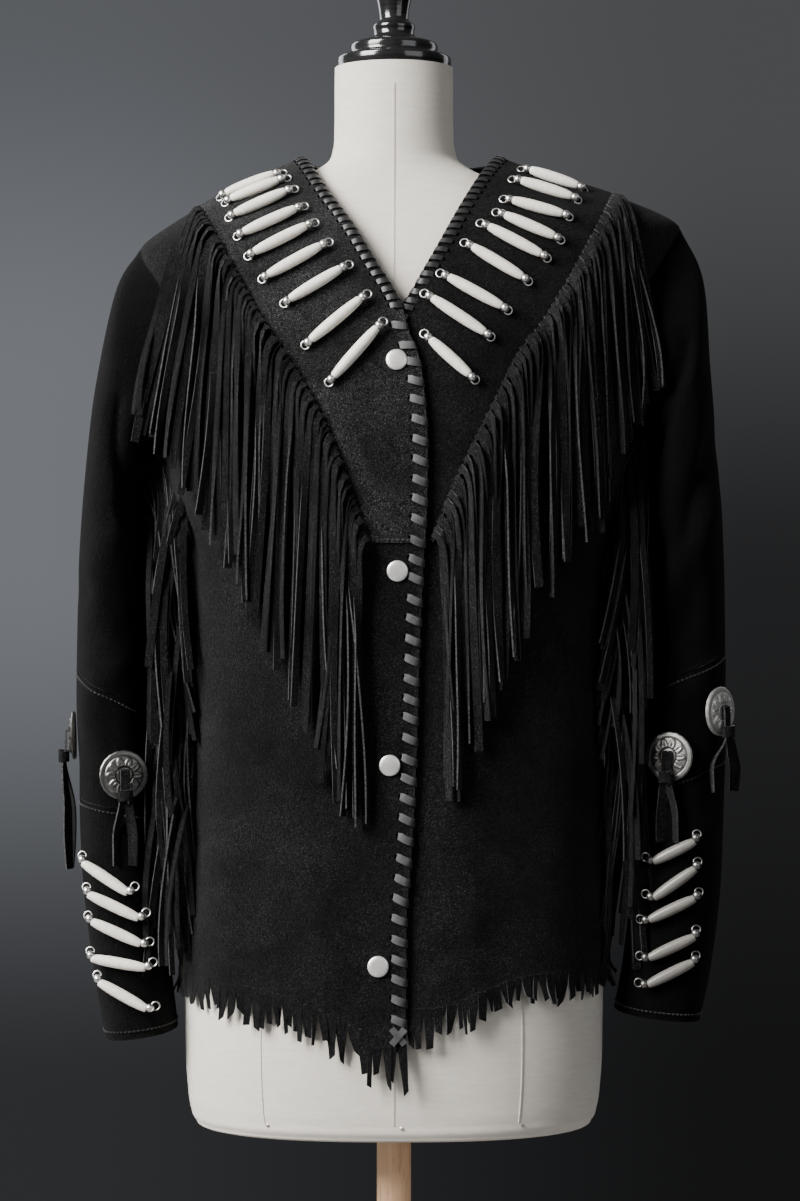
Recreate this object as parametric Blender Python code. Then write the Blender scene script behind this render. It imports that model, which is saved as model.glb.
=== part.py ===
"""Fringed suede jacket on a dress form: the construction solids.

Metres, +Z up. The origin is the centre of the base's underside, on the floor. The
front of the jacket faces -Y, and "right" is the wearer's right, at -X.
"""

import math

import bmesh
import bpy
import numpy as np
from mathutils import Matrix, Vector
from mathutils.bvhtree import BVHTree

# ---------------------------------------------------------------- driving sizes
CLOTH = 0.0014          # thickness of the suede
SEAM = 0.00035          # gap left between pieces that touch
LAP_DROP = 0.0050       # how far the left front sinks where the right one laps it
LAP_RAMP = 0.032        # width over which it sinks
SECTION_POWER = 2.35    # squareness of the torso's sections

# Torso sections, outer face of the cloth: height, half widths, front and back depth
TORSO = {
    "z":     (0.600, 0.700, 0.780, 0.880, 0.960, 1.040, 1.120, 1.180, 1.240, 1.290,
              1.334, 1.350, 1.364, 1.378, 1.392, 1.404),
    "right": (0.178, 0.1770, 0.1745, 0.1700, 0.1690, 0.1740, 0.1830, 0.1890, 0.1950, 0.2010,
              0.2040, 0.1820, 0.1590, 0.1320, 0.1020, 0.0740),
    "left":  (0.178, 0.1775, 0.1760, 0.1725, 0.1715, 0.1770, 0.1870, 0.1940, 0.2060, 0.2180,
              0.2330, 0.2320, 0.2050, 0.1660, 0.1180, 0.0860),
    "front": (0.130, 0.1300, 0.1290, 0.1270, 0.1260, 0.1290, 0.1340, 0.1340, 0.1260, 0.1120,
              0.0920, 0.0820, 0.0720, 0.0610, 0.0490, 0.0380),
    "back":  (0.120, 0.1200, 0.1180, 0.1100, 0.1040, 0.1050, 0.1100, 0.1140, 0.1160, 0.1130,
              0.1020, 0.0960, 0.0900, 0.0830, 0.0750, 0.0680),
}
NECK_TOP = 1.4035

# Front edges: height and x. The right front is the upper one.
RIGHT_EDGE = {
    "z": (0.650, 0.7077, 0.7858, 0.8482, 0.9263, 1.0044, 1.0746, 1.1215, 1.1995, 1.2378,
          1.2548, 1.2744, 1.3111, 1.3429, 1.3689, 1.404),
    "x": (0.000, -0.0008, 0.0086, 0.0141, 0.0180, 0.0203, 0.0234, 0.0258, 0.0242, 0.0180,
          0.0110, 0.0060, -0.0150, -0.0335, -0.0514, -0.0720),
}
LEFT_EDGE = {
    "z": (0.650, 1.150, 1.250, 1.2750, 1.2956, 1.3253, 1.3576, 1.3910, 1.404),
    "x": (-0.014, -0.012, -0.008, 0.0066, 0.0196, 0.0363, 0.0536, 0.0737, 0.0830),
}
# Outer edges of the pointed front yokes: height and x
RIGHT_YOKE = {
    "z": (1.0880, 1.1350, 1.1773, 1.2126, 1.2725, 1.3178, 1.3620),
    "x": (-0.0225, -0.0384, -0.0548, -0.0736, -0.1118, -0.1368, -0.1625),
}
LEFT_YOKE = {
    "z": (1.0880, 1.1046, 1.1396, 1.1682, 1.2011, 1.2341, 1.2630, 1.2950, 1.3336, 1.3725),
    "x": (0.0320, 0.0383, 0.0525, 0.0664, 0.0830, 0.0997, 0.1212, 0.1408, 0.1615, 0.1830),
}
# Back yoke: heights of its lower edge at the middle and where it meets the shoulders
BACK_YOKE = {"middle": 1.150, "right": 1.362, "left": 1.3725}
YOKE_BOTTOM = 1.0880

# Lower edge of the walls above the cut fringe: x and height
HEM_RIGHT = {
    "x": (-0.180, -0.140, -0.090, -0.050, -0.020, 0.010),
    "z": (0.7440, 0.7420, 0.7360, 0.7220, 0.7080, 0.7000),
}
HEM_LEFT = {
    "x": (-0.020, 0.035, 0.070, 0.100, 0.140, 0.180),
    "z": (0.7260, 0.7260, 0.7380, 0.7480, 0.7500, 0.7520),
}
HEMS = {"right": HEM_RIGHT, "left": HEM_LEFT}
EDGES = {"right": RIGHT_EDGE, "left": LEFT_EDGE}
YOKES = {"right": RIGHT_YOKE, "left": LEFT_YOKE}
HEM_BACK = {"x": (-0.180, 0.000, 0.180), "z": (0.7440, 0.7300, 0.7520)}

# Armholes: lowest point, shoulder tip, and their half opening as an angle
ARMHOLE = {
    "right": {"armpit": 1.168, "tip": 1.334, "open": 0.47},
    "left": {"armpit": 1.172, "tip": 1.350, "open": 0.47},
}

# Cells of the fronts and the back
YOKE_CELLS = 6          # across a front, from its edge to the yoke's slanted edge
SIDE_CELLS = 4          # and from there to the side
SIDE_CELL_LEAST = 0.012  # their least width, as an angle
FIRST_LEVEL = 0.80      # height above which a front's rows are level
FRONT_ROWS = (0.86, 0.93, 1.00, 1.05, YOKE_BOTTOM, 1.130)
ARMHOLE_ROWS = (0.0, 0.04, 0.15, 0.35, 0.58, 0.80, 0.95, 1.0)   # shares of its height
NECK_ROWS = (0.33, 0.67, 1.0)      # shares of the height from the yoke's tip to the neck
BACK_CELLS = 14
BACK_CROWD = 0.25       # how far the cells crowd toward the sides, from 0 to 1
BACK_ARMPIT = 0.685     # the rows that meet the armholes' lowest points
BACK_TIP = 0.955        # and their tips
BACK_LOW = (0.0, 0.11, 0.22, 0.33, 0.44, 0.55, 0.63, BACK_ARMPIT, 0.70, 0.745, 0.80, 0.86,
            0.915, BACK_TIP, 1.0)
BACK_HIGH = (0.34, 0.67, 1.0)

# Sleeves: outer and inner edge as seen from the front, middle depth and half depth
SLEEVE_RIGHT = {
    "outer_x": (-0.2260, -0.2420, -0.2500, -0.2565, -0.2590, -0.2595, -0.2570, -0.2560,
                -0.2520, -0.2430, -0.2345),
    "outer_z": (1.2980, 1.2250, 1.1650, 1.0900, 1.0200, 0.9600, 0.9080, 0.8580,
                0.8000, 0.7350, 0.6880),
    "inner_x": (-0.1960, -0.2010, -0.2020, -0.2010, -0.1990, -0.1975, -0.1960, -0.1935,
                -0.1880, -0.1815, -0.1765),
    "inner_z": (1.1560, 1.1380, 1.1120, 1.0680, 1.0080, 0.9520, 0.9020, 0.8530,
                0.7970, 0.7380, 0.6960),
    "middle_y": (0.000, 0.002, 0.004, 0.006, 0.008, 0.006, 0.002, -0.002,
                 -0.006, -0.010, -0.012),
    "half_y": (0.068, 0.073, 0.075, 0.073, 0.070, 0.067, 0.064, 0.061,
               0.057, 0.052, 0.049),
}
SLEEVE_LEFT = {
    "outer_x": (0.2520, 0.2580, 0.2630, 0.2690, 0.2710, 0.2712, 0.2710, 0.2690,
                0.2660, 0.2580, 0.2490),
    "outer_z": (1.3060, 1.2350, 1.1750, 1.0950, 1.0300, 0.9700, 0.9180, 0.8650,
                0.8060, 0.7450, 0.7030),
    "inner_x": (0.2100, 0.2080, 0.2065, 0.2060, 0.2050, 0.2040, 0.2020, 0.1990,
                0.1940, 0.1870, 0.1800),
    "inner_z": (1.1620, 1.1440, 1.1180, 1.0750, 1.0180, 0.9620, 0.9100, 0.8600,
                0.8050, 0.7480, 0.7110),
    "middle_y": (0.000, 0.002, 0.004, 0.006, 0.008, 0.006, 0.002, -0.002,
                 -0.006, -0.010, -0.012),
    "half_y": (0.068, 0.073, 0.075, 0.073, 0.070, 0.067, 0.064, 0.061,
               0.057, 0.052, 0.049),
}
SLEEVES = {"right": SLEEVE_RIGHT, "left": SLEEVE_LEFT}
SLEEVE_POWER = 2.3      # squareness of the sleeves' sections
# Rows of the sleeve tables where the pieced band and the cuff begin, and their slant
BAND_TOP = {"right": (5.50, 0.50), "left": (5.40, 0.45)}
CUFF_TOP = {"right": (7.50, 0.15), "left": (7.00, 0.40)}
SLEEVE_COLUMNS = 18

# Hairpipe beads: outer and inner end on the right yoke, inner and outer on the left
BEAD_RADIUS = 0.0044
BEAD_GAP = 0.0009       # between a bead and the cloth that it lies on
BEAD_PROFILE = {"r": (0.64, 1.0, 1.0, 0.64), "along": (0.0, 0.36, 0.64, 1.0)}
BEAD_SIDES = 6
BEADS_RIGHT = {
    "x0": (-0.1355, -0.1306, -0.1267, -0.1190, -0.1100, -0.0985, -0.0810, -0.0645, -0.0465),
    "z0": (1.3720, 1.3660, 1.3520, 1.3350, 1.3180, 1.2990, 1.2790, 1.2460, 1.2170),
    "x1": (-0.0970, -0.0930, -0.0865, -0.0780, -0.0690, -0.0575, -0.0415, -0.0262, -0.0130),
    "z1": (1.3870, 1.3810, 1.3700, 1.3540, 1.3390, 1.3220, 1.3030, 1.2780, 1.2550),
}
BEADS_LEFT = {
    "x0": (0.1100, 0.1020, 0.0945, 0.0880, 0.0750, 0.0620, 0.0430, 0.0302, 0.0290),
    "z0": (1.3900, 1.3790, 1.3610, 1.3480, 1.3380, 1.3210, 1.2960, 1.2790, 1.2460),
    "x1": (0.1480, 0.1420, 0.1340, 0.1270, 0.1160, 0.1010, 0.0845, 0.0710, 0.0590),
    "z1": (1.3770, 1.3660, 1.3500, 1.3310, 1.3160, 1.2970, 1.2730, 1.2520, 1.2185),
}
# Cuff beads, raised in the cuffs' outer points: crest height at the outer end, and slope
CUFF_BEADS = {
    "right": {
        "z": (0.8325, 0.8074, 0.7855, 0.7557, 0.7367),
        "drop": (0.024, 0.019, 0.018, 0.007, 0.021),
    },
    "left": {
        "z": (0.8521, 0.8251, 0.8015, 0.7706, 0.7517),
        "drop": (0.021, 0.022, 0.017, 0.016, 0.018),
    },
}
CUFF_BEAD_SPAN = (0.10, 0.80)   # where a bead lies across the cuff, from its outer edge
CUFF_BEAD_HEIGHT = 0.0055
CUFF_BEAD_HALF = 0.0042
CUFF_CREST_ROWS = 25.0      # rows that a crest moves for each metre of its slope
ROWS_A_METRE = 1 / 0.056    # rows of the sleeve tables in a metre of sleeve
SEAM_ROWS = 0.006           # rows left open at a sleeve's seam, on each side
BEAD_FACE = 0.2             # least turn toward the front where a crest is raised

# Snaps down the right front, and conchos on the sleeves: x and height
SNAPS = {"x": (0.0023, 0.0030, -0.0030, -0.0120), "z": (1.2300, 1.0660, 0.9146, 0.7584)}
SNAP_RADIUS = 0.0086
SNAP_PROFILE = {"r": (1.0, 0.92, 0.50), "z": (0.0, 0.0018, 0.0029)}
SNAP_GAP = 0.0011       # between a snap and the cloth
CONCHO_RADIUS = 0.0190
CONCHO_PROFILE = {"r": (1.0, 0.94, 0.55), "z": (0.0, 0.0034, 0.0068)}
CONCHO_GAP = 0.0012
# A thong below its concho: how far out and down the knot starts, its sizes and the tails'
THONG = {"out": 0.0105, "down": 0.012, "knot": 0.011, "thick": 0.004, "half": 0.0075,
         "slit": 0.0015, "tail_off": 0.0045, "tail_half": 0.0034, "tail_thick": 0.0009}
# Name, a place beside each concho, its thong's tail length, how far the tails part,
# and how far the concho is turned from its cloth towards the front
CONCHOS = (
    ("right_front", (-0.2135, -0.080, 0.9035), 0.060, 0.002, 0.0),
    ("right_side", (-0.290, -0.020, 0.9330), 0.096, 0.003, 0.0),
    ("left_front", (0.2165, -0.080, 0.9180), 0.056, 0.002, 0.0),
    ("left_side", (0.283, -0.0995, 0.9540), 0.052, 0.010, 0.15),
)

# Fringes: roots run along an edge; the ends' places, a row for each stretch
YOKE_FRINGE_RIGHT = {
    "along": (0.00, 0.12, 0.25, 0.38, 0.50, 0.62, 0.75, 0.88, 1.00),
    "x": (-0.2130, -0.1862, -0.1500, -0.1230, -0.1050, -0.0830, -0.0620, -0.0420, -0.0270),
    "z": (1.1980, 1.1600, 1.1080, 1.0660, 1.0158, 0.9816, 0.9300, 0.8900, 0.8650),
}
YOKE_FRINGE_LEFT = {
    "along": (0.00, 0.12, 0.25, 0.38, 0.50, 0.62, 0.75, 0.88, 1.00),
    "x": (0.2110, 0.1900, 0.1640, 0.1360, 0.1110, 0.0920, 0.0740, 0.0560, 0.0380),
    "z": (1.2080, 1.1800, 1.1160, 1.0790, 1.0420, 0.9930, 0.9591, 0.9150, 0.8850),
}
BACK_FRINGE = {
    "along": (0.00, 0.07, 0.25, 0.50, 0.75, 0.93, 1.00),
    "x": (-0.2300, -0.1900, -0.1000, 0.0100, 0.1200, 0.2000, 0.2150),
    "z": (1.2200, 1.1500, 1.0150, 0.9000, 1.0150, 1.1600, 1.2000),
}
# Lengths of the edges left free of fringe at their start and end
YOKE_FRINGE_FREE = (0.016, 0.003)
BACK_FRINGE_FREE = (0.072, 0.066)
# How far the hem's strands reach below the walls, from the front edge or the right side
HEM_REACH = {
    "right": {"along": (0.0, 0.2, 0.5, 0.7, 1.0), "reach": (0.044, 0.032, 0.028, 0.022, 0.020)},
    "left": {"along": (0.0, 0.2, 0.4, 0.7, 1.0), "reach": (0.034, 0.028, 0.024, 0.022, 0.018)},
    "back": {"along": (0.0, 0.5, 1.0), "reach": (0.020, 0.026, 0.020)},
}
HEM_GAP = 0.0012        # between a panel's lower edge and its strip of cut fringe
HEM_STRIP = 0.0040      # height of the hem's strip
STRIP = 0.0060          # and of the strip that another fringe hangs from
STRIP_GAP = 0.0030      # and its gap to the edge above it
STRIP_LIFT = 0.0019     # and how far it stands off the panel
STRAND_THICK = 0.0014
STRAND_CLEAR = {"front": 0.0050, "back": 0.0045}   # a strand's middle, off the cloth
STRAND_HALF = {"least": 0.0010, "most": 0.0023, "share": 0.46}   # of its root's width
ROOT_SHARE = {"edge": 0.62, "hem": 0.66}           # of a strip's edge, that the roots take
NORMAL_STEP = 0.006     # how far round a place its normal is averaged
SIGN = {"right": -1.0, "left": 1.0}
# The fringe in the sleeves' inner seams
SLEEVE_FRINGE_ROWS = (1.6, 6.4)    # rows of the sleeve tables that it runs between
SLEEVE_FRINGE_COLUMN = 8           # the seam, a little in front of the innermost line
SLEEVE_FRINGE_LENGTH = {"along": (0.0, 1.0), "length": (0.168, 0.190)}
SLEEVE_ROOT_SHARE = 0.6            # of the strip's edge, that the roots take
SLEEVE_STRIP_GAP = 0.0032          # between the sleeve and its strip
SLEEVE_STRAND_AHEAD = 0.0060       # how far in front of the strip the hindmost ones hang
SLEEVE_STRAND_PITCH = 0.0031       # between strands, from front to back
SLEEVE_STRAND_SPREAD = -0.08       # how far out they spread as they come forward
SLEEVE_STRAND_CLEAR = 0.0042       # from a strand's middle to the body and the sleeve
SLEEVE_STRAND_FALL = 0.028         # how far down they have fallen when they hang straight
SLEEVE_STRAND_HALF = 0.0023        # half their width
STRAND_STEPS = (3, 12)   # twelfths of its way down where a strand has a section
FRONT_SHOULDER_STEPS = (1, 2, 4, 12)   # and where it falls over a shoulder
BACK_SHOULDER_STEPS = (2, 4, 6, 12)
SHOULDER_SHARE = 0.22   # how far along a slanted edge the shoulder reaches
YOKE_STRANDS = 28
BACK_STRANDS = 29
SLEEVE_STRANDS = 16
HEM_STRANDS = 16
HEM_BACK_STRANDS = 18

# Bust form: height, half width, front and back depth, and squareness of each section
FORM = {
    "z":     (0.6160, 0.6175, 0.6220, 0.6320, 0.6500, 0.7000, 0.7400, 0.7800, 0.8800, 0.9600,
              1.0400, 1.1200, 1.1800, 1.2400, 1.2900, 1.3260, 1.3400, 1.3560, 1.3700, 1.3840,
              1.3950, 1.4020, 1.4120, 1.4300, 1.4600, 1.4790),
    "half":  (0.1470, 0.1560, 0.1620, 0.1660, 0.1685, 0.1705, 0.1712, 0.1700, 0.1580, 0.1450,
              0.1520, 0.1660, 0.1740, 0.1800, 0.1840, 0.1860, 0.1700, 0.1450, 0.1170, 0.0880,
              0.0640, 0.0540, 0.0500, 0.0488, 0.0486, 0.0484),
    "front": (0.0960, 0.1060, 0.1130, 0.1160, 0.1180, 0.1210, 0.1215, 0.1190, 0.1100, 0.1040,
              0.1120, 0.1220, 0.1220, 0.1120, 0.0980, 0.0820, 0.0740, 0.0640, 0.0560, 0.0500,
              0.0470, 0.0460, 0.0450, 0.0445, 0.0440, 0.0440),
    "back":  (0.0860, 0.0960, 0.1030, 0.1060, 0.1080, 0.1100, 0.1100, 0.1080, 0.0960, 0.0880,
              0.0920, 0.0980, 0.1030, 0.1040, 0.1010, 0.0910, 0.0860, 0.0800, 0.0740, 0.0680,
              0.0630, 0.0600, 0.0570, 0.0550, 0.0545, 0.0540),
    "power": (2.40, 2.40, 2.40, 2.40, 2.40, 2.40, 2.35, 2.30, 2.20, 2.10,
              2.10, 2.20, 2.30, 2.30, 2.30, 2.30, 2.25, 2.20, 2.15, 2.10,
              2.05, 2.00, 2.00, 2.00, 2.00, 2.00),
}
FORM_COLUMNS = 20

# The stand: profiles as radius and height, bottom to top
FINIAL = {
    "r": (0.0465, 0.0472, 0.0460, 0.0365, 0.0352, 0.0200, 0.0168, 0.0172, 0.0120,
          0.0150, 0.0195, 0.0215, 0.0200, 0.0110),
    "z": (1.4800, 1.4845, 1.4885, 1.4910, 1.4995, 1.5040, 1.5090, 1.5150, 1.5210,
          1.5400, 1.5620, 1.5850, 1.6050, 1.6180),
}
NECK_BACK = 0.005       # how far behind the pole's axis the neck's middle is
POLE_RADIUS = 0.0140
COLLAR_RADIUS = 0.0190
COLLAR_HEIGHT = 0.0130
BASE_RADIUS = 0.1850
BASE_HEIGHT = 0.0320
BASE_PROFILE = {"in": (0.003, 0.0, 0.0, 0.006, 0.135, 0.155),
                "z": (0.0, 0.003, 0.018, 0.024, 0.0285, BASE_HEIGHT)}


# ---------------------------------------------------------------- small helpers
def curve(xs, ys, x):
    """A smooth curve through a table's points, held flat past its ends."""
    xs = np.asarray(xs, float)
    ys = np.asarray(ys, float)
    slope = np.gradient(ys, xs)
    x = np.clip(x, xs[0], xs[-1])
    i = np.clip(np.searchsorted(xs, x) - 1, 0, len(xs) - 2)
    step = xs[i + 1] - xs[i]
    t = (x - xs[i]) / step
    a = (1 + 2 * t) * (1 - t) ** 2
    b = t * (1 - t) ** 2
    c = t * t * (3 - 2 * t)
    d = t * t * (t - 1)
    return a * ys[i] + b * step * slope[i] + c * ys[i + 1] + d * step * slope[i + 1]


def ease(t):
    t = np.clip(t, 0.0, 1.0)
    return t * t * (3 - 2 * t)


def material(name, colour, roughness, metallic=0.0):
    mat = bpy.data.materials.get(name) or bpy.data.materials.new(name)
    mat.use_nodes = True
    shader = mat.node_tree.nodes["Principled BSDF"]
    shader.inputs["Base Color"].default_value = (*colour, 1.0)
    shader.inputs["Roughness"].default_value = roughness
    shader.inputs["Metallic"].default_value = metallic
    return mat


def suede():
    return material("suede", (0.012, 0.012, 0.013), 0.95)


def bone():
    return material("bone", (0.80, 0.76, 0.68), 0.45)


def silver():
    return material("silver", (0.75, 0.74, 0.72), 0.32, 1.0)


def linen():
    return material("linen", (0.66, 0.62, 0.56), 0.9)


def black_gloss():
    return material("black_gloss", (0.01, 0.01, 0.01), 0.2)


def beech():
    return material("beech", (0.62, 0.42, 0.26), 0.5)


def make_object(name, verts, faces, mat, smooth=True):
    mesh = bpy.data.meshes.new(name)
    mesh.from_pydata([tuple(v) for v in verts], [], faces)
    mesh.validate()
    if smooth:
        mesh.shade_smooth()
        mesh.set_sharp_from_angle(angle=math.radians(45))
    mesh.materials.append(mat)
    obj = bpy.data.objects.new(name, mesh)
    bpy.context.collection.objects.link(obj)
    solid = bmesh.new()
    solid.from_mesh(mesh)
    bmesh.ops.recalc_face_normals(solid, faces=solid.faces)
    solid.to_mesh(mesh)
    solid.free()
    return obj


def wall(name, outer, inner, mat, ring=False, holds=None):
    """A closed wall between two grids of points, rows by columns.

    holds says which of the grid's cells the wall has; all of them where it isn't given.
    """
    rows, columns = outer.shape[:2]
    across = columns if ring else columns - 1
    if holds is None:
        holds = np.ones((rows - 1, across), bool)
    verts = np.concatenate([outer.reshape(-1, 3), inner.reshape(-1, 3)])
    shift = rows * columns

    def at(r, c, side):
        return side * shift + r * columns + c % columns

    def held(r, c):
        if ring:
            c %= columns
        return 0 <= r < rows - 1 and 0 <= c < across and holds[r, c]

    faces = []
    for r in range(rows - 1):
        for c in range(across):
            if not holds[r, c]:
                continue
            corners = ((r, c), (r, c + 1), (r + 1, c + 1), (r + 1, c))
            for side in (0, 1):
                faces.append(tuple(at(*corner, side) for corner in corners))
            edges = (
                (held(r - 1, c), (r, c), (r, c + 1)),
                (held(r + 1, c), (r + 1, c), (r + 1, c + 1)),
                (held(r, c - 1), (r, c), (r + 1, c)),
                (held(r, c + 1), (r, c + 1), (r + 1, c + 1)),
            )
            for goes_on, one, other in edges:
                if not goes_on:
                    faces.append((at(*one, 0), at(*other, 0), at(*other, 1), at(*one, 1)))
    used = sorted({i for face in faces for i in face})
    place = {i: k for k, i in enumerate(used)}
    return make_object(name, verts[used], [tuple(place[i] for i in face) for face in faces], mat)


def lathe(name, radii, heights, mat, sides=24, place=Matrix.Identity(4)):
    """A turned solid: rings of points up a profile, capped at both ends."""
    verts = []
    for radius, height in zip(radii, heights):
        for k in range(sides):
            a = 2 * math.pi * k / sides
            verts.append(place @ Vector((radius * math.cos(a), radius * math.sin(a), height)))
    faces = []
    for r in range(len(radii) - 1):
        for k in range(sides):
            n = (k + 1) % sides
            faces.append((r * sides + k, r * sides + n, (r + 1) * sides + n, (r + 1) * sides + k))
    faces.append(tuple(range(sides)))
    faces.append(tuple((len(radii) - 1) * sides + k for k in range(sides)))
    return make_object(name, verts, faces, mat)


# ---------------------------------------------------------------- the torso's surface
def torso_section(z):
    """Middle, half width, front and back depth of the torso's outer face at a height."""
    right = curve(TORSO["z"], TORSO["right"], z)
    left = curve(TORSO["z"], TORSO["left"], z)
    front = curve(TORSO["z"], TORSO["front"], z)
    back = curve(TORSO["z"], TORSO["back"], z)
    return (left - right) / 2, (left + right) / 2, front, back


def torso_angle(x, z):
    """Angle of the point at x, from 0 at the right side to pi at the left side."""
    middle, half, _, _ = torso_section(z)
    c = np.clip((x - middle) / half, -1.0, 1.0)
    return np.arccos(-np.sign(c) * np.abs(c) ** (SECTION_POWER / 2))


def torso_point(angle, z, facing=-1):
    """The outer face's point; facing is -1 on the front and 1 on the back."""
    middle, half, front, back = torso_section(z)
    depth = front if facing < 0 else back
    c = np.cos(angle)
    s = max(math.sin(angle), 0.0)
    x = middle - half * np.sign(c) * np.abs(c) ** (2 / SECTION_POWER)
    y = facing * depth * s ** (2 / SECTION_POWER)
    return np.array((x, y, z), float)


def torso_level(point, facing):
    """1 on the torso's outer face, less inside it."""
    middle, half, front, back = torso_section(point[2])
    depth = front if facing < 0 else back
    across = (abs(point[0] - middle) / half) ** SECTION_POWER
    return across + (abs(point[1]) / depth) ** SECTION_POWER


def torso_normal(point, facing=-1):
    step = 0.0004
    slope = np.zeros(3)
    for axis in range(3):
        ahead = point.copy()
        behind = point.copy()
        ahead[axis] += step
        behind[axis] -= step
        slope[axis] = torso_level(ahead, facing) - torso_level(behind, facing)
    return slope / np.linalg.norm(slope)


def seam_angle(z, facing):
    """Angle at which a panel stops short of the side seam or the shoulder seam."""
    _, _, front, back = torso_section(z)
    depth = front if facing < 0 else back
    return math.asin((SEAM / depth) ** (SECTION_POWER / 2))


def side_angle(z, side, facing):
    """Angle where a panel ends: its side seam, its armhole or its shoulder seam."""
    hole = ARMHOLE[side]
    middle = (hole["tip"] + hole["armpit"]) / 2
    half = (hole["tip"] - hole["armpit"]) / 2
    s = (z - middle) / half
    lens = hole["open"] * math.sqrt(max(0.0, 1.0 - s * s))
    return max(seam_angle(z, facing), lens)


def lap_drop(x, z):
    """How deep the left front lies at a point, under the right front's edge."""
    edge = curve(RIGHT_EDGE["z"], RIGHT_EDGE["x"], z)
    return -LAP_DROP * (1.0 - ease((x - edge - 0.004) / LAP_RAMP))


def front_heights(side):
    """Heights of a front's rows above the hem, closer at the armhole's ends."""
    hole = ARMHOLE[side]
    size = hole["tip"] - hole["armpit"]
    tip = YOKES[side]["z"][-1]
    rows = list(FRONT_ROWS)
    rows += [hole["armpit"] + size * t for t in ARMHOLE_ROWS]
    rows += [(hole["tip"] + tip) / 2, tip]
    rows += [tip + (NECK_TOP - tip) * t for t in NECK_ROWS]
    return rows


# ---------------------------------------------------------------- cloth panels
def front_grid(side):
    """Points and normals of a front's outer face, and which cells its yoke covers."""
    edge = EDGES[side]
    hem = HEMS[side]
    yoke = YOKES[side]
    heights = front_heights(side)
    points = []
    normals = []
    for row, level in enumerate([None, None] + heights):
        base = level if level is not None else FIRST_LEVEL
        start = torso_angle(curve(edge["z"], edge["x"], base), base)
        slant = torso_angle(curve(yoke["z"], yoke["x"], max(base, YOKE_BOTTOM)), base)
        stop = side_angle(base, side, -1)
        least = SIDE_CELLS * SIDE_CELL_LEAST
        if side == "left":
            stop = math.pi - stop
            slant = min(slant, stop - least)
            if base > yoke["z"][-1]:
                slant = stop - least
        else:
            slant = max(slant, stop + least)
            if base > yoke["z"][-1]:
                slant = stop + least
        angles = list(np.linspace(start, slant, YOKE_CELLS + 1))
        angles += list(np.linspace(slant, stop, SIDE_CELLS + 1))[1:]
        row_points = []
        row_normals = []
        for angle in angles:
            z = base
            if level is None:
                low = curve(hem["x"], hem["z"], torso_point(angle, base)[0])
                z = low + (FIRST_LEVEL - low) * row / 2
            point = torso_point(angle, z)
            normal = torso_normal(point)
            lift = lap_drop(point[0], z) if side == "left" else 0.0
            row_points.append(point + lift * normal)
            row_normals.append(normal)
        points.append(row_points)
        normals.append(row_normals)
    levels = np.array([0.0, 0.0] + heights)[:-1]
    covers = np.zeros((len(levels), YOKE_CELLS + SIDE_CELLS), bool)
    covers[levels > YOKE_BOTTOM - 1e-6, :YOKE_CELLS] = True
    covers[levels > yoke["z"][-1] - 1e-6, :] = True
    return np.array(points), np.array(normals), covers


def back_share(v, side):
    """A row's share of its height at one side, where it meets the armhole's ends."""
    hole = ARMHOLE[side]
    low = HEM_BACK["z"][0 if side == "right" else -1]
    high = BACK_YOKE[side]
    ends = [(hole[name] - low) / (high - low) for name in ("armpit", "tip")]
    return np.interp(v, (0.0, BACK_ARMPIT, BACK_TIP, 1.0), (0.0, *ends, 1.0))


def back_grid():
    """Points and normals of the back's outer face; its yoke covers the last rows."""
    points = []
    normals = []
    steps = [(0, v) for v in BACK_LOW] + [(1, v) for v in BACK_HIGH]
    for block, v in steps:
        row_points = []
        row_normals = []
        for c in range(BACK_CELLS + 1):
            even = c / BACK_CELLS
            t = even + BACK_CROWD * ((1 - math.cos(math.pi * even)) / 2 - even)
            ridge = abs(2 * t - 1)
            tip = BACK_YOKE["right"] if t < 0.5 else BACK_YOKE["left"]
            slant = BACK_YOKE["middle"] + (tip - BACK_YOKE["middle"]) * ridge
            low = curve(HEM_BACK["x"], HEM_BACK["z"], -0.18 + 0.36 * t)
            if block == 0:
                share = back_share(v, "right") * (1 - t) + back_share(v, "left") * t
                z = low + (slant - low) * share
            else:
                z = slant + (NECK_TOP - slant) * v
            start = side_angle(z, "right", 1)
            stop = math.pi - side_angle(z, "left", 1)
            point = torso_point(start + (stop - start) * t, z, 1)
            row_points.append(point)
            row_normals.append(torso_normal(point, 1))
        points.append(row_points)
        normals.append(row_normals)
    return np.array(points), np.array(normals)


def panel(name, points, normals):
    return wall(name, points, points - CLOTH * normals, suede())


def laid_on(name, points, normals, holds):
    """A yoke: some of its panel's cells, moved out."""
    outer = points + (SEAM + CLOTH) * normals
    return wall(name, outer, points + SEAM * normals, suede(), holds=holds)


# ---------------------------------------------------------------- sleeves
def armhole_ring(side, columns=SLEEVE_COLUMNS, ease_in=0.0030, angle_in=0.030):
    """The sleeve's first ring, just inside the armhole, from its tip by the front."""
    hole = ARMHOLE[side]
    middle = (hole["tip"] + hole["armpit"]) / 2
    half = (hole["tip"] - hole["armpit"]) / 2 - ease_in
    ring = []
    for c in range(columns):
        turn = 2 * math.pi * c / columns
        z = middle + half * math.cos(turn)
        angle = (hole["open"] - angle_in) * abs(math.sin(turn))
        facing = -1 if math.sin(turn) >= 0 else 1
        if side == "left":
            angle = math.pi - angle
        ring.append(torso_point(angle, z, facing))
    return np.array(ring)


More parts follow.
